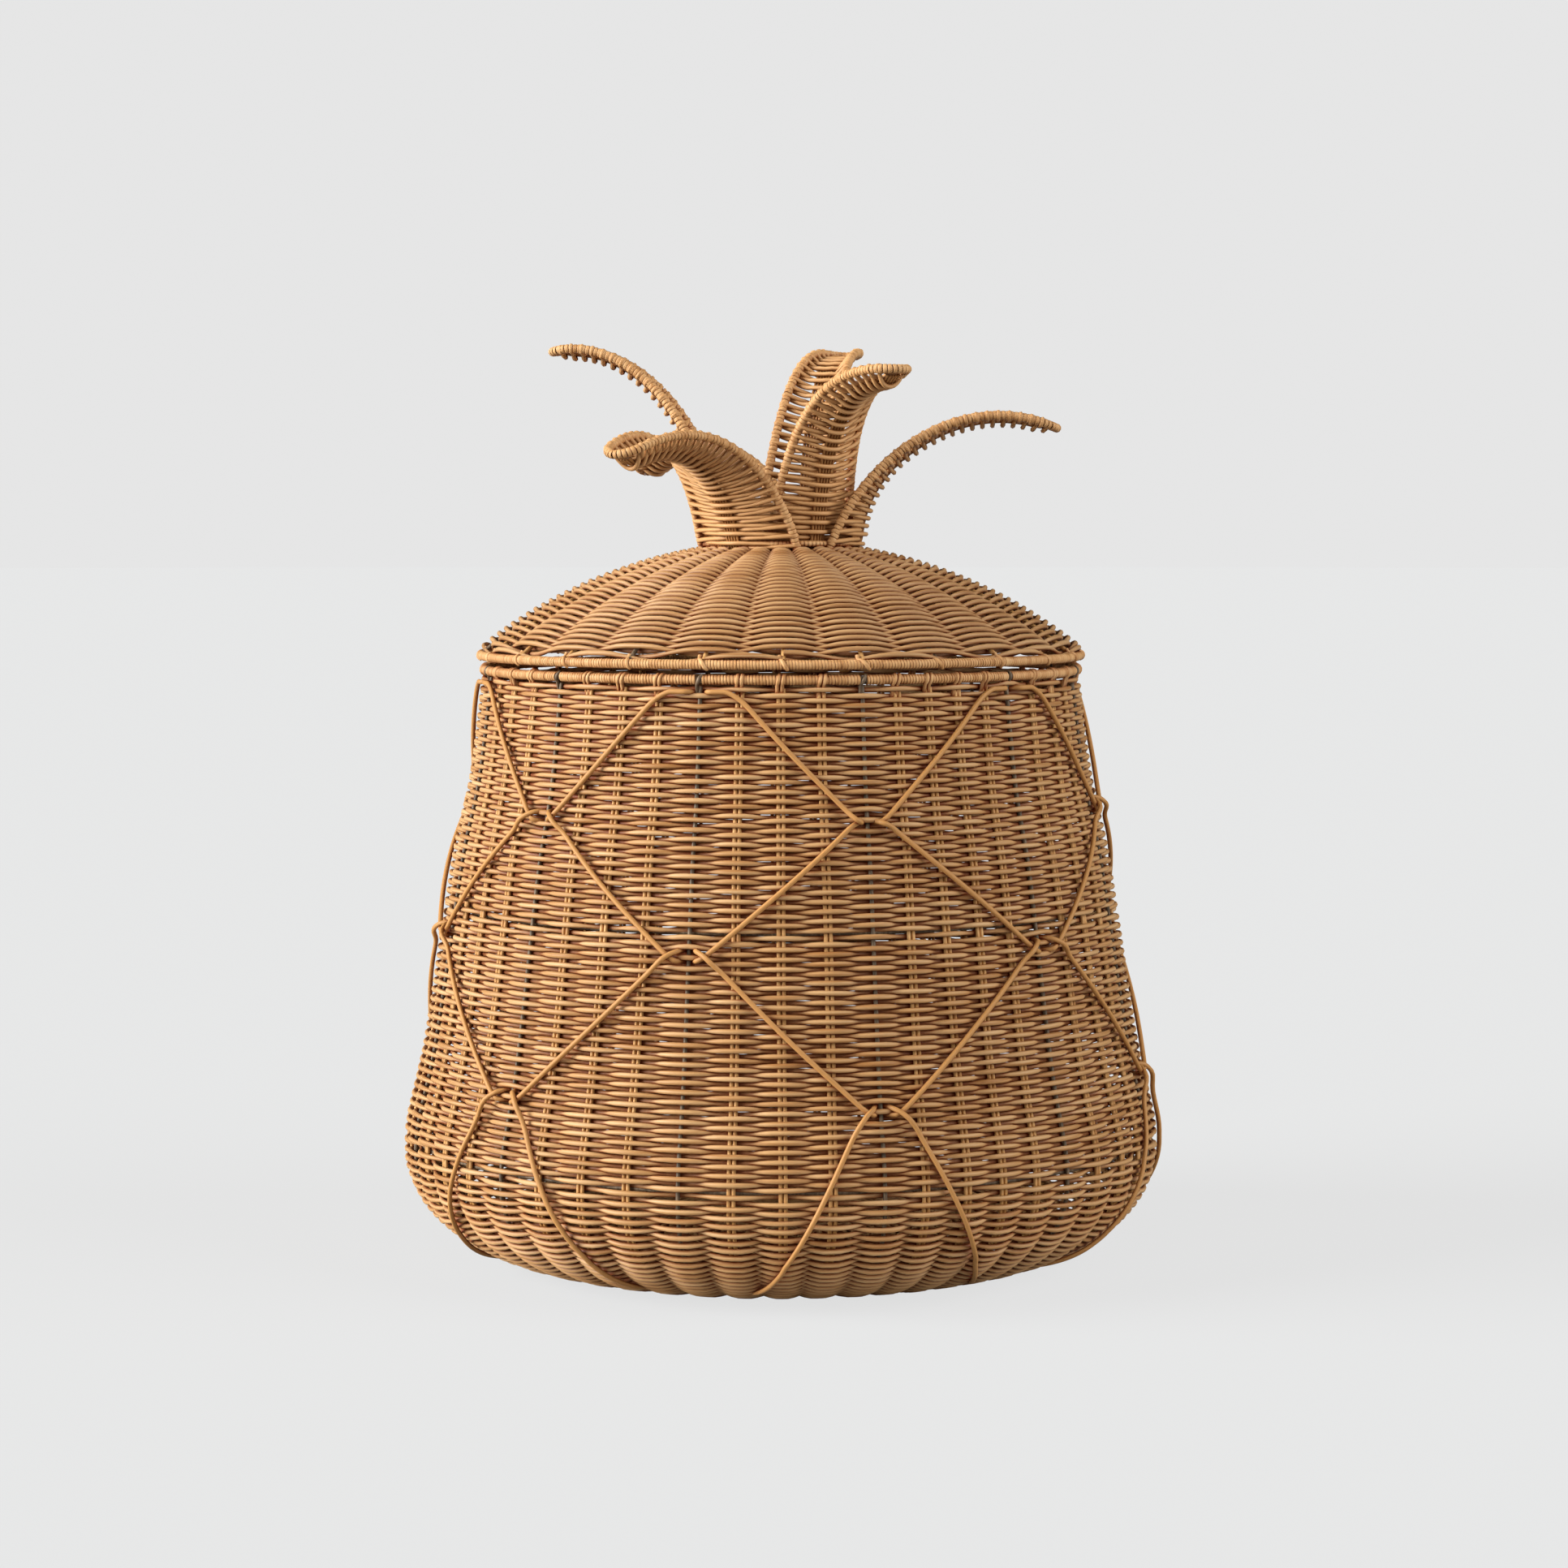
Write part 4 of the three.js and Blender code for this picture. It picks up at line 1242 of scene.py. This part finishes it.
def wrap_mesh(name: str, frames: list[tuple[Vector, Vector]], tube: float, width: float) -> bpy.types.Mesh:
    """Flat cane wound round a line, one crowned band to each turn.

    Args:
        name: the mesh's name.
        frames: the middle of each turn and the line's direction there.
        tube: radius of the binding.
        width: width of the cane.

    Returns:
        all the turns as one mesh.
    """
    half = width / 2 * 0.98
    low, shoulder, crest = tube * 0.86, tube * 0.975, tube
    side = ((half, low), (half * 0.86, shoulder), (half * 0.45, crest))
    profile = [(-x, r) for x, r in side] + [*reversed(side)]
    band = bmesh.new()
    verts = [band.verts.new((x * MM, 0, r * MM)) for x, r in profile]
    edges = [band.edges.new(pair) for pair in zip(verts, verts[1:])]
    bmesh.ops.spin(
        band, geom=[*verts, *edges], cent=(0, 0, 0), axis=(1, 0, 0),
        angle=2 * math.pi, steps=10, use_merge=True,
    )
    bmesh.ops.recalc_face_normals(band, faces=band.faces)
    turn = bpy.data.meshes.new("cane_turn")
    band.to_mesh(turn)
    band.free()
    whole = bmesh.new()
    for i, (middle, along) in enumerate(frames):
        slant = 0.06 * flutter(0.7, i * 0.61) + 0.16
        side = along.orthogonal().normalized()
        lie = (along + side * slant).normalized()
        turned = lie.to_track_quat("X", "Z").to_matrix().to_4x4()
        size = 1 + 0.03 * flutter(2.3, i * 0.77)
        place = Matrix.Translation(middle * MM) @ turned @ Matrix.Diagonal((1, size, size, 1))
        copy = turn.copy()
        copy.transform(place)
        whole.from_mesh(copy)
        bpy.data.meshes.remove(copy)
    made = bpy.data.meshes.new(name)
    whole.to_mesh(made)
    whole.free()
    bpy.data.meshes.remove(turn)
    return made


@dataclass
class Lid:
    """The woven dome with its stakes and spokes.

    Args:
        ring_height: height of the lid ring's middle.
        curve_radius: radius of the dome's outside.
        edge_radius: radius at which it meets the ring.
        edge_rise: height of that edge over the ring's middle.
        reed_radius: radius of the weaver.
        row_pitch: how far apart its rows lie.
        stake_depth: how far below the outside the stakes lie.
        swing: how far the weaver swings out and in from the stakes' line.
        stakes: how many stakes meet the ring.
        first_stake: azimuth of the first.
        spokes: the stakes that are steel spokes.
        middle_stakes: how many stakes the middle of the dome has.
        middle_radius: radius of that middle.
        foot: how far outside the edge the lowest row lies.
        steps: points of the weaver between two stakes.
    """

    ring_height: float
    curve_radius: float = 260.0
    edge_radius: float = 160.0
    edge_rise: float = 6.8
    reed_radius: float = 1.36
    row_pitch: float = 2.4
    stake_depth: float = 3.6
    swing: float = 2.75
    stakes: int = 25
    first_stake: float = 0.5
    spokes: tuple[int, ...] = (2, 6, 10, 15, 19, 23)
    middle_stakes: int = 13
    middle_radius: float = 38.0
    foot: float = 1.6
    steps: int = 8

    def __post_init__(self) -> None:
        """Finds the middle of the dome's sphere."""
        rise = math.sqrt(self.curve_radius**2 - self.edge_radius**2)
        self.centre = self.ring_height + self.edge_rise - rise

    def at(self, radius: float, depth: float) -> tuple[float, float]:
        """Radius and height of a point below the dome.

        Args:
            radius: radius of the point of the outside over it.
            depth: how far below the outside it lies.

        Returns:
            its radius and its height.
        """
        share = (self.curve_radius - depth) / self.curve_radius
        rise = math.sqrt(self.curve_radius**2 - radius**2)
        return radius * share, self.centre + rise * share

    def build(self) -> None:
        """Builds the dome's weave, its stakes and its spokes."""
        weaver = Strands("lid_weave_reed", self.reed_radius, 8)
        foot = self.edge_radius + self.foot
        self._spiral(weaver, foot, foot - 0.01, self.stakes, self.first_stake + 180, 1)
        self._spiral(weaver, foot - self.foot, self.middle_radius, self.stakes, self.first_stake)
        weaver.dress(LID_REED, "lid", "lid_weave")
        middle = Strands("lid_middle_reed", self.reed_radius, 8)
        self._spiral(middle, self.middle_radius, 9.0, self.middle_stakes, self.first_stake)
        middle.dress(LID_REED, "lid")
        stakes = Strands("lid_stakes", 1.2)
        spokes = Strands("lid_spoke_wires", 1.1, 8)
        overlap = 2.0
        for stake in range(self.stakes):
            azimuth = self.first_stake + 360 * stake / self.stakes
            target = spokes if stake in self.spokes else stakes
            target.add(self._stake_line(azimuth, self.middle_radius - overlap))
        for stake in range(self.middle_stakes):
            azimuth = self.first_stake + 360 * stake / self.middle_stakes
            stakes.add(self._stake_line(azimuth, 6.0, self.middle_radius + overlap))
        stakes.dress(STAKE_REED_PAINTED_LIGHT, "lid")
        spokes.dress(WIRE, "lid", *(f"lid_spoke_{i + 1}" for i in range(len(self.spokes))))

    def _stake_line(self, azimuth: float, inner: float, outer: float = 0.0) -> list[Vector]:
        """Points of a stake under the dome.

        Args:
            azimuth: where it is.
            inner: radius where it ends.
            outer: radius where it starts, or 0 where it starts at the lid ring.

        Returns:
            its points, from the outside in.
        """
        start = outer or self.edge_radius
        points = []
        if not outer:
            points.append(polar(160.4, azimuth, self.ring_height + 2.0))
        for i in range(16):
            radius, height = self.at(mix(start, inner, i / 15), self.stake_depth)
            points.append(polar(radius, azimuth, height))
        return points

    def _spiral(
        self, weaver: Strands, outer: float, inner: float, count: int, first: float, turns: int = 0
    ) -> None:
        """A weaver that spirals up the dome.

        Args:
            weaver: the strands to add it to.
            outer: radius where it starts.
            inner: radius where it ends.
            count: how many stakes it goes round.
            first: azimuth of the first stake.
            turns: how many turns it takes, where the pitch of the rows doesn't give them.
        """
        start = math.asin(outer / self.curve_radius)
        end = math.asin(inner / self.curve_radius)
        rows = turns or round(self.curve_radius * (start - end) / self.row_pitch)
        points, widths = [], []
        for gap, share, swing in weave_steps(rows * count, self.steps):
            azimuth = first + 360 * (gap + share) / count
            slope = mix(start, end, (gap + share) / (rows * count))
            over = self.curve_radius * math.sin(slope) + 0.55 * round_noise(azimuth, 2.5, slope * 16)
            radius, height = self.at(over, self.stake_depth - self.swing * swing)
            points.append(polar(radius, azimuth, height))
            stray = 0.05 * flutter(slope * 40, gap * 0.4 + share * 0.4)
            widths.append(weave_width(share) * (1 + stray))
        weaver.add(points, widths=widths)


@dataclass(frozen=True)
class LeafShape:
    """Where a leaf goes: from its foot on a crown ring to its tip.

    Args:
        name: its name.
        azimuth: the way it leans.
        reach: how far its tip reaches out from its foot.
        height: how far its tip stands over the top of the dome.
        rise: lean and length of its rise.
        arch: droop and length of its arch.
        cup: how deep its blade is cupped.
    """

    name: str
    azimuth: float
    reach: float
    height: float
    rise: tuple[float, float]
    arch: tuple[float, float]
    cup: float


OUTER_LEAVES = (
    LeafShape("leaf_1", -36, 111.5, 43.6, (68, 46), (-27, 57), 10),
    LeafShape("leaf_2", 85, 117.5, 59.8, (68, 47), (-24, 54), 3),
    LeafShape("leaf_3", -149, 117.5, 39.0, (68, 47), (-30, 58), 5),
)
INNER_LEAVES = (
    LeafShape("leaf_4", 31, 87.5, 87.6, (80, 60), (-2, 55), 7),
    LeafShape("leaf_5", 159, 76.3, 103.4, (82, 70), (-10, 48), 5),
    LeafShape("leaf_6", -95, 94.3, 101.6, (80, 60), (-12, 47), 3),
)


@dataclass
class Leaf:
    """One leaf: a wire loop bound in cane, a midrib of side-by-side reeds, and rows woven across.

    Args:
        shape: where it goes.
        ring_radius: radius of the crown ring that it stands on.
        half_angle: half the angle of that ring that its base spans.
        ring_height: height of that ring's middle.
        dome_top: height of the top of the dome.
        edge_radius: radius of its bound edge.
        tip_half_width: half its width where the tip starts to round.
        tip_share: share of its length that is rounded.
        base_share: share of its length over which the base's round fades.
        row_pitch: how far apart its rows lie.
        row_radius: radius of a row's reed.
        root: share of its length that reaches down past the crown ring.
        bow: how far a row sags toward the base at its middle.
        rib_reeds: reeds of its midrib.
        rib_radius: radius of such a reed.
        cane_width: width of the cane that binds the edge.
        line: points of the leaf's line as seen from the side.
        lengths: length along that line up to each point.
    """

    shape: LeafShape
    ring_radius: float
    half_angle: float
    ring_height: float
    dome_top: float
    edge_radius: float = 2.0
    tip_half_width: float = 9.0
    tip_share: float = 0.07
    base_share: float = 0.4
    row_pitch: float = 2.9
    row_radius: float = 1.28
    root: float = 0.05
    bow: float = 2.5
    rib_reeds: int = 5
    rib_radius: float = 0.86
    cane_width: float = 2.3
    line: list[Vector] = field(init=False)
    lengths: list[float] = field(init=False)

    def __post_init__(self) -> None:
        """Stores the edge's line as seen from the side, a curve from its foot to its tip."""
        base_angle = math.radians(self.half_angle)
        self.base_half_width = self.ring_radius * math.sin(base_angle)
        self.base_cup = self.ring_radius * (1 - math.cos(base_angle))
        lean = math.radians(self.shape.rise[0])
        droop = math.radians(self.shape.arch[0])
        foot_rise = 2.3
        foot = self.ring_height + foot_rise + self.edge_radius * math.cos(lean)
        start = Vector((self.ring_radius * math.cos(base_angle), foot))
        tip = Vector((start.x + self.shape.reach, self.dome_top + self.shape.height))
        leave = start + self.shape.rise[1] * Vector((math.cos(lean), math.sin(lean)))
        arrive = tip - self.shape.arch[1] * Vector((math.cos(droop), math.sin(droop)))
        self.line = []
        for i in range(201):
            t = i / 200
            u = 1 - t
            self.line.append(u**3 * start + 3 * u * u * t * leave + 3 * u * t * t * arrive + t**3 * tip)
        self.lengths = running_lengths(self.line)
        self.length = self.lengths[-1]

    def _edge_line(self, stage: float) -> tuple[Vector, Vector]:
        """The point and the direction of the edge's line at a stage from 0 to 1, or a little outside.

        Args:
            stage: how far along the leaf, from 0 to 1.

        Returns:
            the point and the direction.
        """
        i, share = find_step(self.lengths, stage * self.length)
        before, after = self.line[i], self.line[i + 1]
        return before.lerp(after, share), (after - before).normalized()

    def _half_width(self, stage: float) -> float:
        """Half the leaf's width at a stage.

        Args:
            stage: how far along the leaf, from 0 to 1.

        Returns:
            half the width.
        """
        low = max(stage, 0.0)
        taper = self.tip_half_width + (self.base_half_width - self.tip_half_width) * (1 - low**1.15)
        into_tip = max(0.0, (low - 1 + self.tip_share) / self.tip_share)
        return taper * math.sqrt(max(0.0, 1 - min(1.0, into_tip) ** 2))

    def surface(self, stage: float, across: float, off: float = 0.0) -> Vector:
        """A point of the leaf in the basket's frame.

        Args:
            stage: how far along the leaf.
            across: from -1 on one edge to 1 on the other.
            off: how far below the blade, or above it where negative.

        Returns:
            the point.
        """
        point, along = self._edge_line(stage)
        base_fade = max(0.0, 1 - max(stage, 0.0) / self.base_share)
        tip_fade = min(1.0, (1 - stage) / self.tip_share)
        cup = (self.shape.cup + (self.base_cup - self.shape.cup) * base_fade**2) * tip_fade
        below = Vector((along.y, -along.x)).lerp(Vector((1, 0)), base_fade).normalized()
        drop = cup * (1 - across * across) + off
        y = across * self._half_width(stage)
        x = point.x + below.x * drop
        z = point.y + below.y * drop
        angle = math.radians(self.shape.azimuth)
        lean = Vector((math.sin(angle), -math.cos(angle), 0))
        side = Vector((math.cos(angle), math.sin(angle), 0))
        return lean * x + side * y + Vector((0, 0, z))

    def build(self) -> None:
        """Builds the edge, the midrib and the rows."""
        self._edge()
        self._ribs()
        self._rows()

    def _edge(self) -> None:
        """The bound wire loop, from the crown ring round the tip and back."""
        round_start, round_length = 0.93, 0.0695
        stages = [mix(-self.root, round_start, i / 60) for i in range(61)]
        stages += [round_start + round_length * math.sin(math.pi / 2 * i / 16) for i in range(1, 17)]
        one = [self.surface(stage, -1) for stage in stages]
        other = [self.surface(stage, 1) for stage in reversed(stages)]
        loop = [*one, self.surface(1, 0), *other]
        node = f"{self.shape.name}_edge"
        core = Strands(f"{node}_core", self.edge_radius * 0.7)
        core.add(loop)
        core.dress(BINDING_CANE, "lid")
        frames = even_frames(loop, self.cane_width)
        wound = wrap_mesh(f"{node}_binding", frames, self.edge_radius * 1.2, self.cane_width)
        add_piece(wound, BINDING_CANE, "lid", node)

    def _ribs(self) -> None:
        """The side-by-side reeds of the midrib."""
        ribs = Strands(f"{self.shape.name}_ribs", self.rib_radius)
        rib_end, full_width = 0.965, 8.5
        for rib in range(self.rib_reeds):
            side = (rib - (self.rib_reeds - 1) / 2) * 2 * self.rib_radius
            line = []
            for i in range(41):
                stage = mix(-1.2 * self.root, rib_end, i / 40)
                half = max(self._half_width(stage), 2.0)
                squeeze = min(1.0, half / full_width)
                line.append(self.surface(stage, side * squeeze / half))
            ribs.add(line)
        ribs.dress(RIB_REED, "lid", f"{self.shape.name}_midrib")

    def _rows(self) -> None:
        """One long reed that goes to and fro across the leaf and wraps round both edges."""
        first, last = 0.3 * self.row_radius / self.length - self.root, 0.972
        rows = round((last - first) * self.length / self.row_pitch)
        pitch = (last - first) / rows
        rib_off = self.rib_radius + self.row_radius
        edge_off = self.edge_radius * 0.2 + self.row_radius
        points = []
        for row in range(rows + 1):
            middle = first + row * pitch
            heading = over = 1 if row % 2 == 0 else -1
            half = max(self._half_width(middle), 3.0)
            for i in range(15):
                travel = -1 + 2 * i / 14
                across = heading * travel
                sag = self.bow / self.length * (1 - across * across) * smooth(middle, 0.0, 0.2)
                stray = travel * abs(travel) ** 1.5 * pitch / 2 - sag
                beside_rib = 1 - smooth(abs(across) * half, 2.5, 9.0)
                at_edge = smooth(abs(across), 0.55, 0.95)
                off = -over * rib_off * beside_rib + over * edge_off * at_edge
                points.append(self.surface(middle + stray, across, off))
            if row < rows:
                points.extend(self._wrap(middle + pitch / 2, heading, over * edge_off))
        reed = Strands(f"{self.shape.name}_rows", self.row_radius)
        reed.add(points)
        reed.dress(LEAF_REED, "lid", f"{self.shape.name}_weave")

    def _wrap(self, stage: float, side: int, off: float) -> list[Vector]:
        """The half turn of a row round an edge.

        Args:
            stage: where along the leaf.
            side: which edge, -1 or 1.
            off: how far below the edge it starts; it ends as far above.

        Returns:
            the points of the half turn.
        """
        middle = self.surface(stage, side)
        inner = self.surface(stage, side * 0.9)
        outward = (middle - inner).normalized()
        below = (self.surface(stage, side, 1.0) - middle).normalized()
        points = []
        hang = 0.45
        for i in range(1, 6):
            angle = math.pi * i / 6
            around = below * (off * math.cos(angle) + hang) + outward * abs(off) * math.sin(angle)
            points.append(middle + around)
        return points


def even_frames(line: list[Vector], pitch: float) -> list[tuple[Vector, Vector]]:
    """Points an even distance apart along a line, each with its direction.

    Args:
        line: the line's points.
        pitch: the distance between two frames.

    Returns:
        each point with its direction.
    """
    frames = []
    left = pitch / 2
    for before, after in zip(line, line[1:]):
        step = after - before
        length = step.length
        if length == 0:
            continue
        along = step / length
        while left <= length:
            frames.append((before + along * left, along))
            left += pitch
        left -= length
    return frames


@dataclass
class Studio:
    """The camera at the photograph's viewing angle, soft light mostly from the left, and a pale floor.

    Args:
        frame_width: width of the photograph in pixels.
        focal: focal length in such pixels.
        horizon: pixel row of the horizon.
        axis_column: pixel column of the basket's axis.
        distance: from the camera to the axis, in metres.
        height: of the camera, in metres.
        background: how bright the camera sees the surround, where 1 is white.
        world_light: how bright the surround lights the basket.
        floor_grey: how pale the floor is for all rays but the camera's.
        shadow_grey, glow: how far a shadow darkens the floor for the camera, and how bright it is there.
    """

    frame_width: float = 1932.0
    focal: float = 4500.0
    horizon: float = 657.0
    axis_column: float = 962.0
    distance: float = 1.98
    height: float = 0.3905
    background: float = 0.79
    world_light: float = 0.05
    floor_grey: float = 0.27
    shadow_grey: float = 0.06
    glow: float = 0.72

    def build(self) -> None:
        """Sets up the camera, the lights, the world and the floor."""
        self._camera()
        self._lights()
        self._world()
        self._floor()
        bpy.context.scene.view_settings.view_transform = "Standard"

    def _camera(self) -> None:
        """The camera."""
        data = bpy.data.cameras.new("camera")
        data.sensor_fit = "HORIZONTAL"
        data.sensor_width = 36.0
        data.lens = data.sensor_width * self.focal / self.frame_width
        data.clip_start = 0.05
        camera = bpy.data.objects.new("camera", data)
        bpy.context.collection.objects.link(camera)
        pitch = math.atan((self.frame_width / 2 - self.horizon) / self.focal)
        turn = math.atan((self.frame_width / 2 - self.axis_column) / self.focal)
        camera.location = (0, -self.distance, self.height)
        camera.rotation_euler = (math.pi / 2 - pitch, 0, -turn)
        bpy.context.scene.camera = camera

    def _lights(self) -> None:
        """A broad soft key from the left, a weak lamp in front and a fill from the right."""
        pale, warm = (0.94, 1.0, 1.0), (1.0, 0.95, 0.86)
        for name, strength, colour, spread, azimuth, elevation in (
            ("key", 8.6, pale, 42, -77, 17),
            ("front", 0.74, warm, 44, -5, 22),
            ("fill", 3.15, pale, 50, 70, 26),
        ):
            data = bpy.data.lights.new(name, "SUN")
            data.energy = strength
            data.color = colour
            data.angle = math.radians(spread)
            lamp = bpy.data.objects.new(name, data)
            bpy.context.collection.objects.link(lamp)
            towards = polar(math.cos(math.radians(elevation)), azimuth, math.sin(math.radians(elevation)))
            lamp.rotation_euler = towards.to_track_quat("Z", "Y").to_euler()

    def _world(self) -> None:
        """An even pale surround, seen by the camera at the background's own level."""
        world = bpy.data.worlds.new("surround")
        bpy.context.scene.world = world
        world.use_nodes = True
        world.node_tree.nodes.clear()
        sheet = NodeSheet(world.node_tree)
        light, seen = (
            sheet.add("ShaderNodeBackground", {"Color": (*WHITE, 1), "Strength": strength}).outputs[0]
            for strength in (self.world_light, self.background)
        )
        sheet.show("ShaderNodeOutputWorld", seen, light)

    def _floor(self) -> None:
        """The pale floor, which glows for the camera, so that it is pale without lighting the basket."""
        disc = bmesh.new()
        bmesh.ops.create_circle(disc, cap_ends=True, segments=96, radius=40.0)
        mesh = bpy.data.meshes.new("floor")
        disc.to_mesh(mesh)
        disc.free()
        floor = bpy.data.objects.new("floor", mesh)
        bpy.context.collection.objects.link(floor)
        paint = bpy.data.materials.new("pale_floor")
        paint.use_nodes = True
        paint.node_tree.nodes.clear()
        sheet = NodeSheet(paint.node_tree)
        matt, shaded = (
            sheet.add("ShaderNodeBsdfDiffuse", {"Color": (grey, grey, grey, 1)}).outputs[0]
            for grey in (self.floor_grey, self.shadow_grey)
        )
        glow = sheet.add("ShaderNodeEmission", {"Strength": self.glow})
        both = sheet.add("ShaderNodeAddShader", {0: shaded, 1: glow.outputs[0]})
        sheet.show("ShaderNodeOutputMaterial", both.outputs[0], matt)
        mesh.materials.append(paint)


def build_basket() -> None:
    """Builds the basket, its lid and its crown."""
    wall = WallLine()
    stakes = StakeRound()
    Body(wall, stakes).build()
    Lattice(wall, stakes).build()
    marked = list(zip(stakes.azimuths, stakes.wire_marks))
    wires = tuple(azimuth for azimuth, is_wire in marked if is_wire)
    reeds = tuple(azimuth for azimuth, is_wire in marked if not is_wire)
    BoundRing("rim_ring", "basket", radius=159.6, height=317.4, tube=2.6, bare=wires, loops=reeds).build()
    lid = Lid(middle_height("lid_ring"))
    lid.build()
    stakes_up = tuple(lid.first_stake + 360 * stake / lid.stakes for stake in range(lid.stakes))
    BoundRing(
        "lid_ring", "lid", radius=161.2, height=lid.ring_height, tube=2.5,
        loops=stakes_up, doubled=False, loop_sweep=(115.0, -75.0), loop_slant=1.4, tail=(-2.5, 4.5),
    ).build()
    crown = (("crown_ring_outer", 44.0, 45, OUTER_LEAVES), ("crown_ring_inner", 38.2, 39, INNER_LEAVES))
    for node, radius, _, _ in crown:
        height = middle_height(node) - 0.6
        BoundRing(node, "lid", radius - 2.6, height, tube=1.6, wrap_width=2.2).build()
    for node, radius, half_angle, shapes in crown:
        for shape in shapes:
            Leaf(shape, radius, half_angle, middle_height(node), lid.centre + lid.curve_radius).build()


def main() -> None:
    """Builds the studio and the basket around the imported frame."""
    logging.basicConfig(level=logging.INFO, format="%(name)s: %(message)s")
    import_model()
    Studio().build()
    build_basket()


if __name__ == "__main__":
    main()
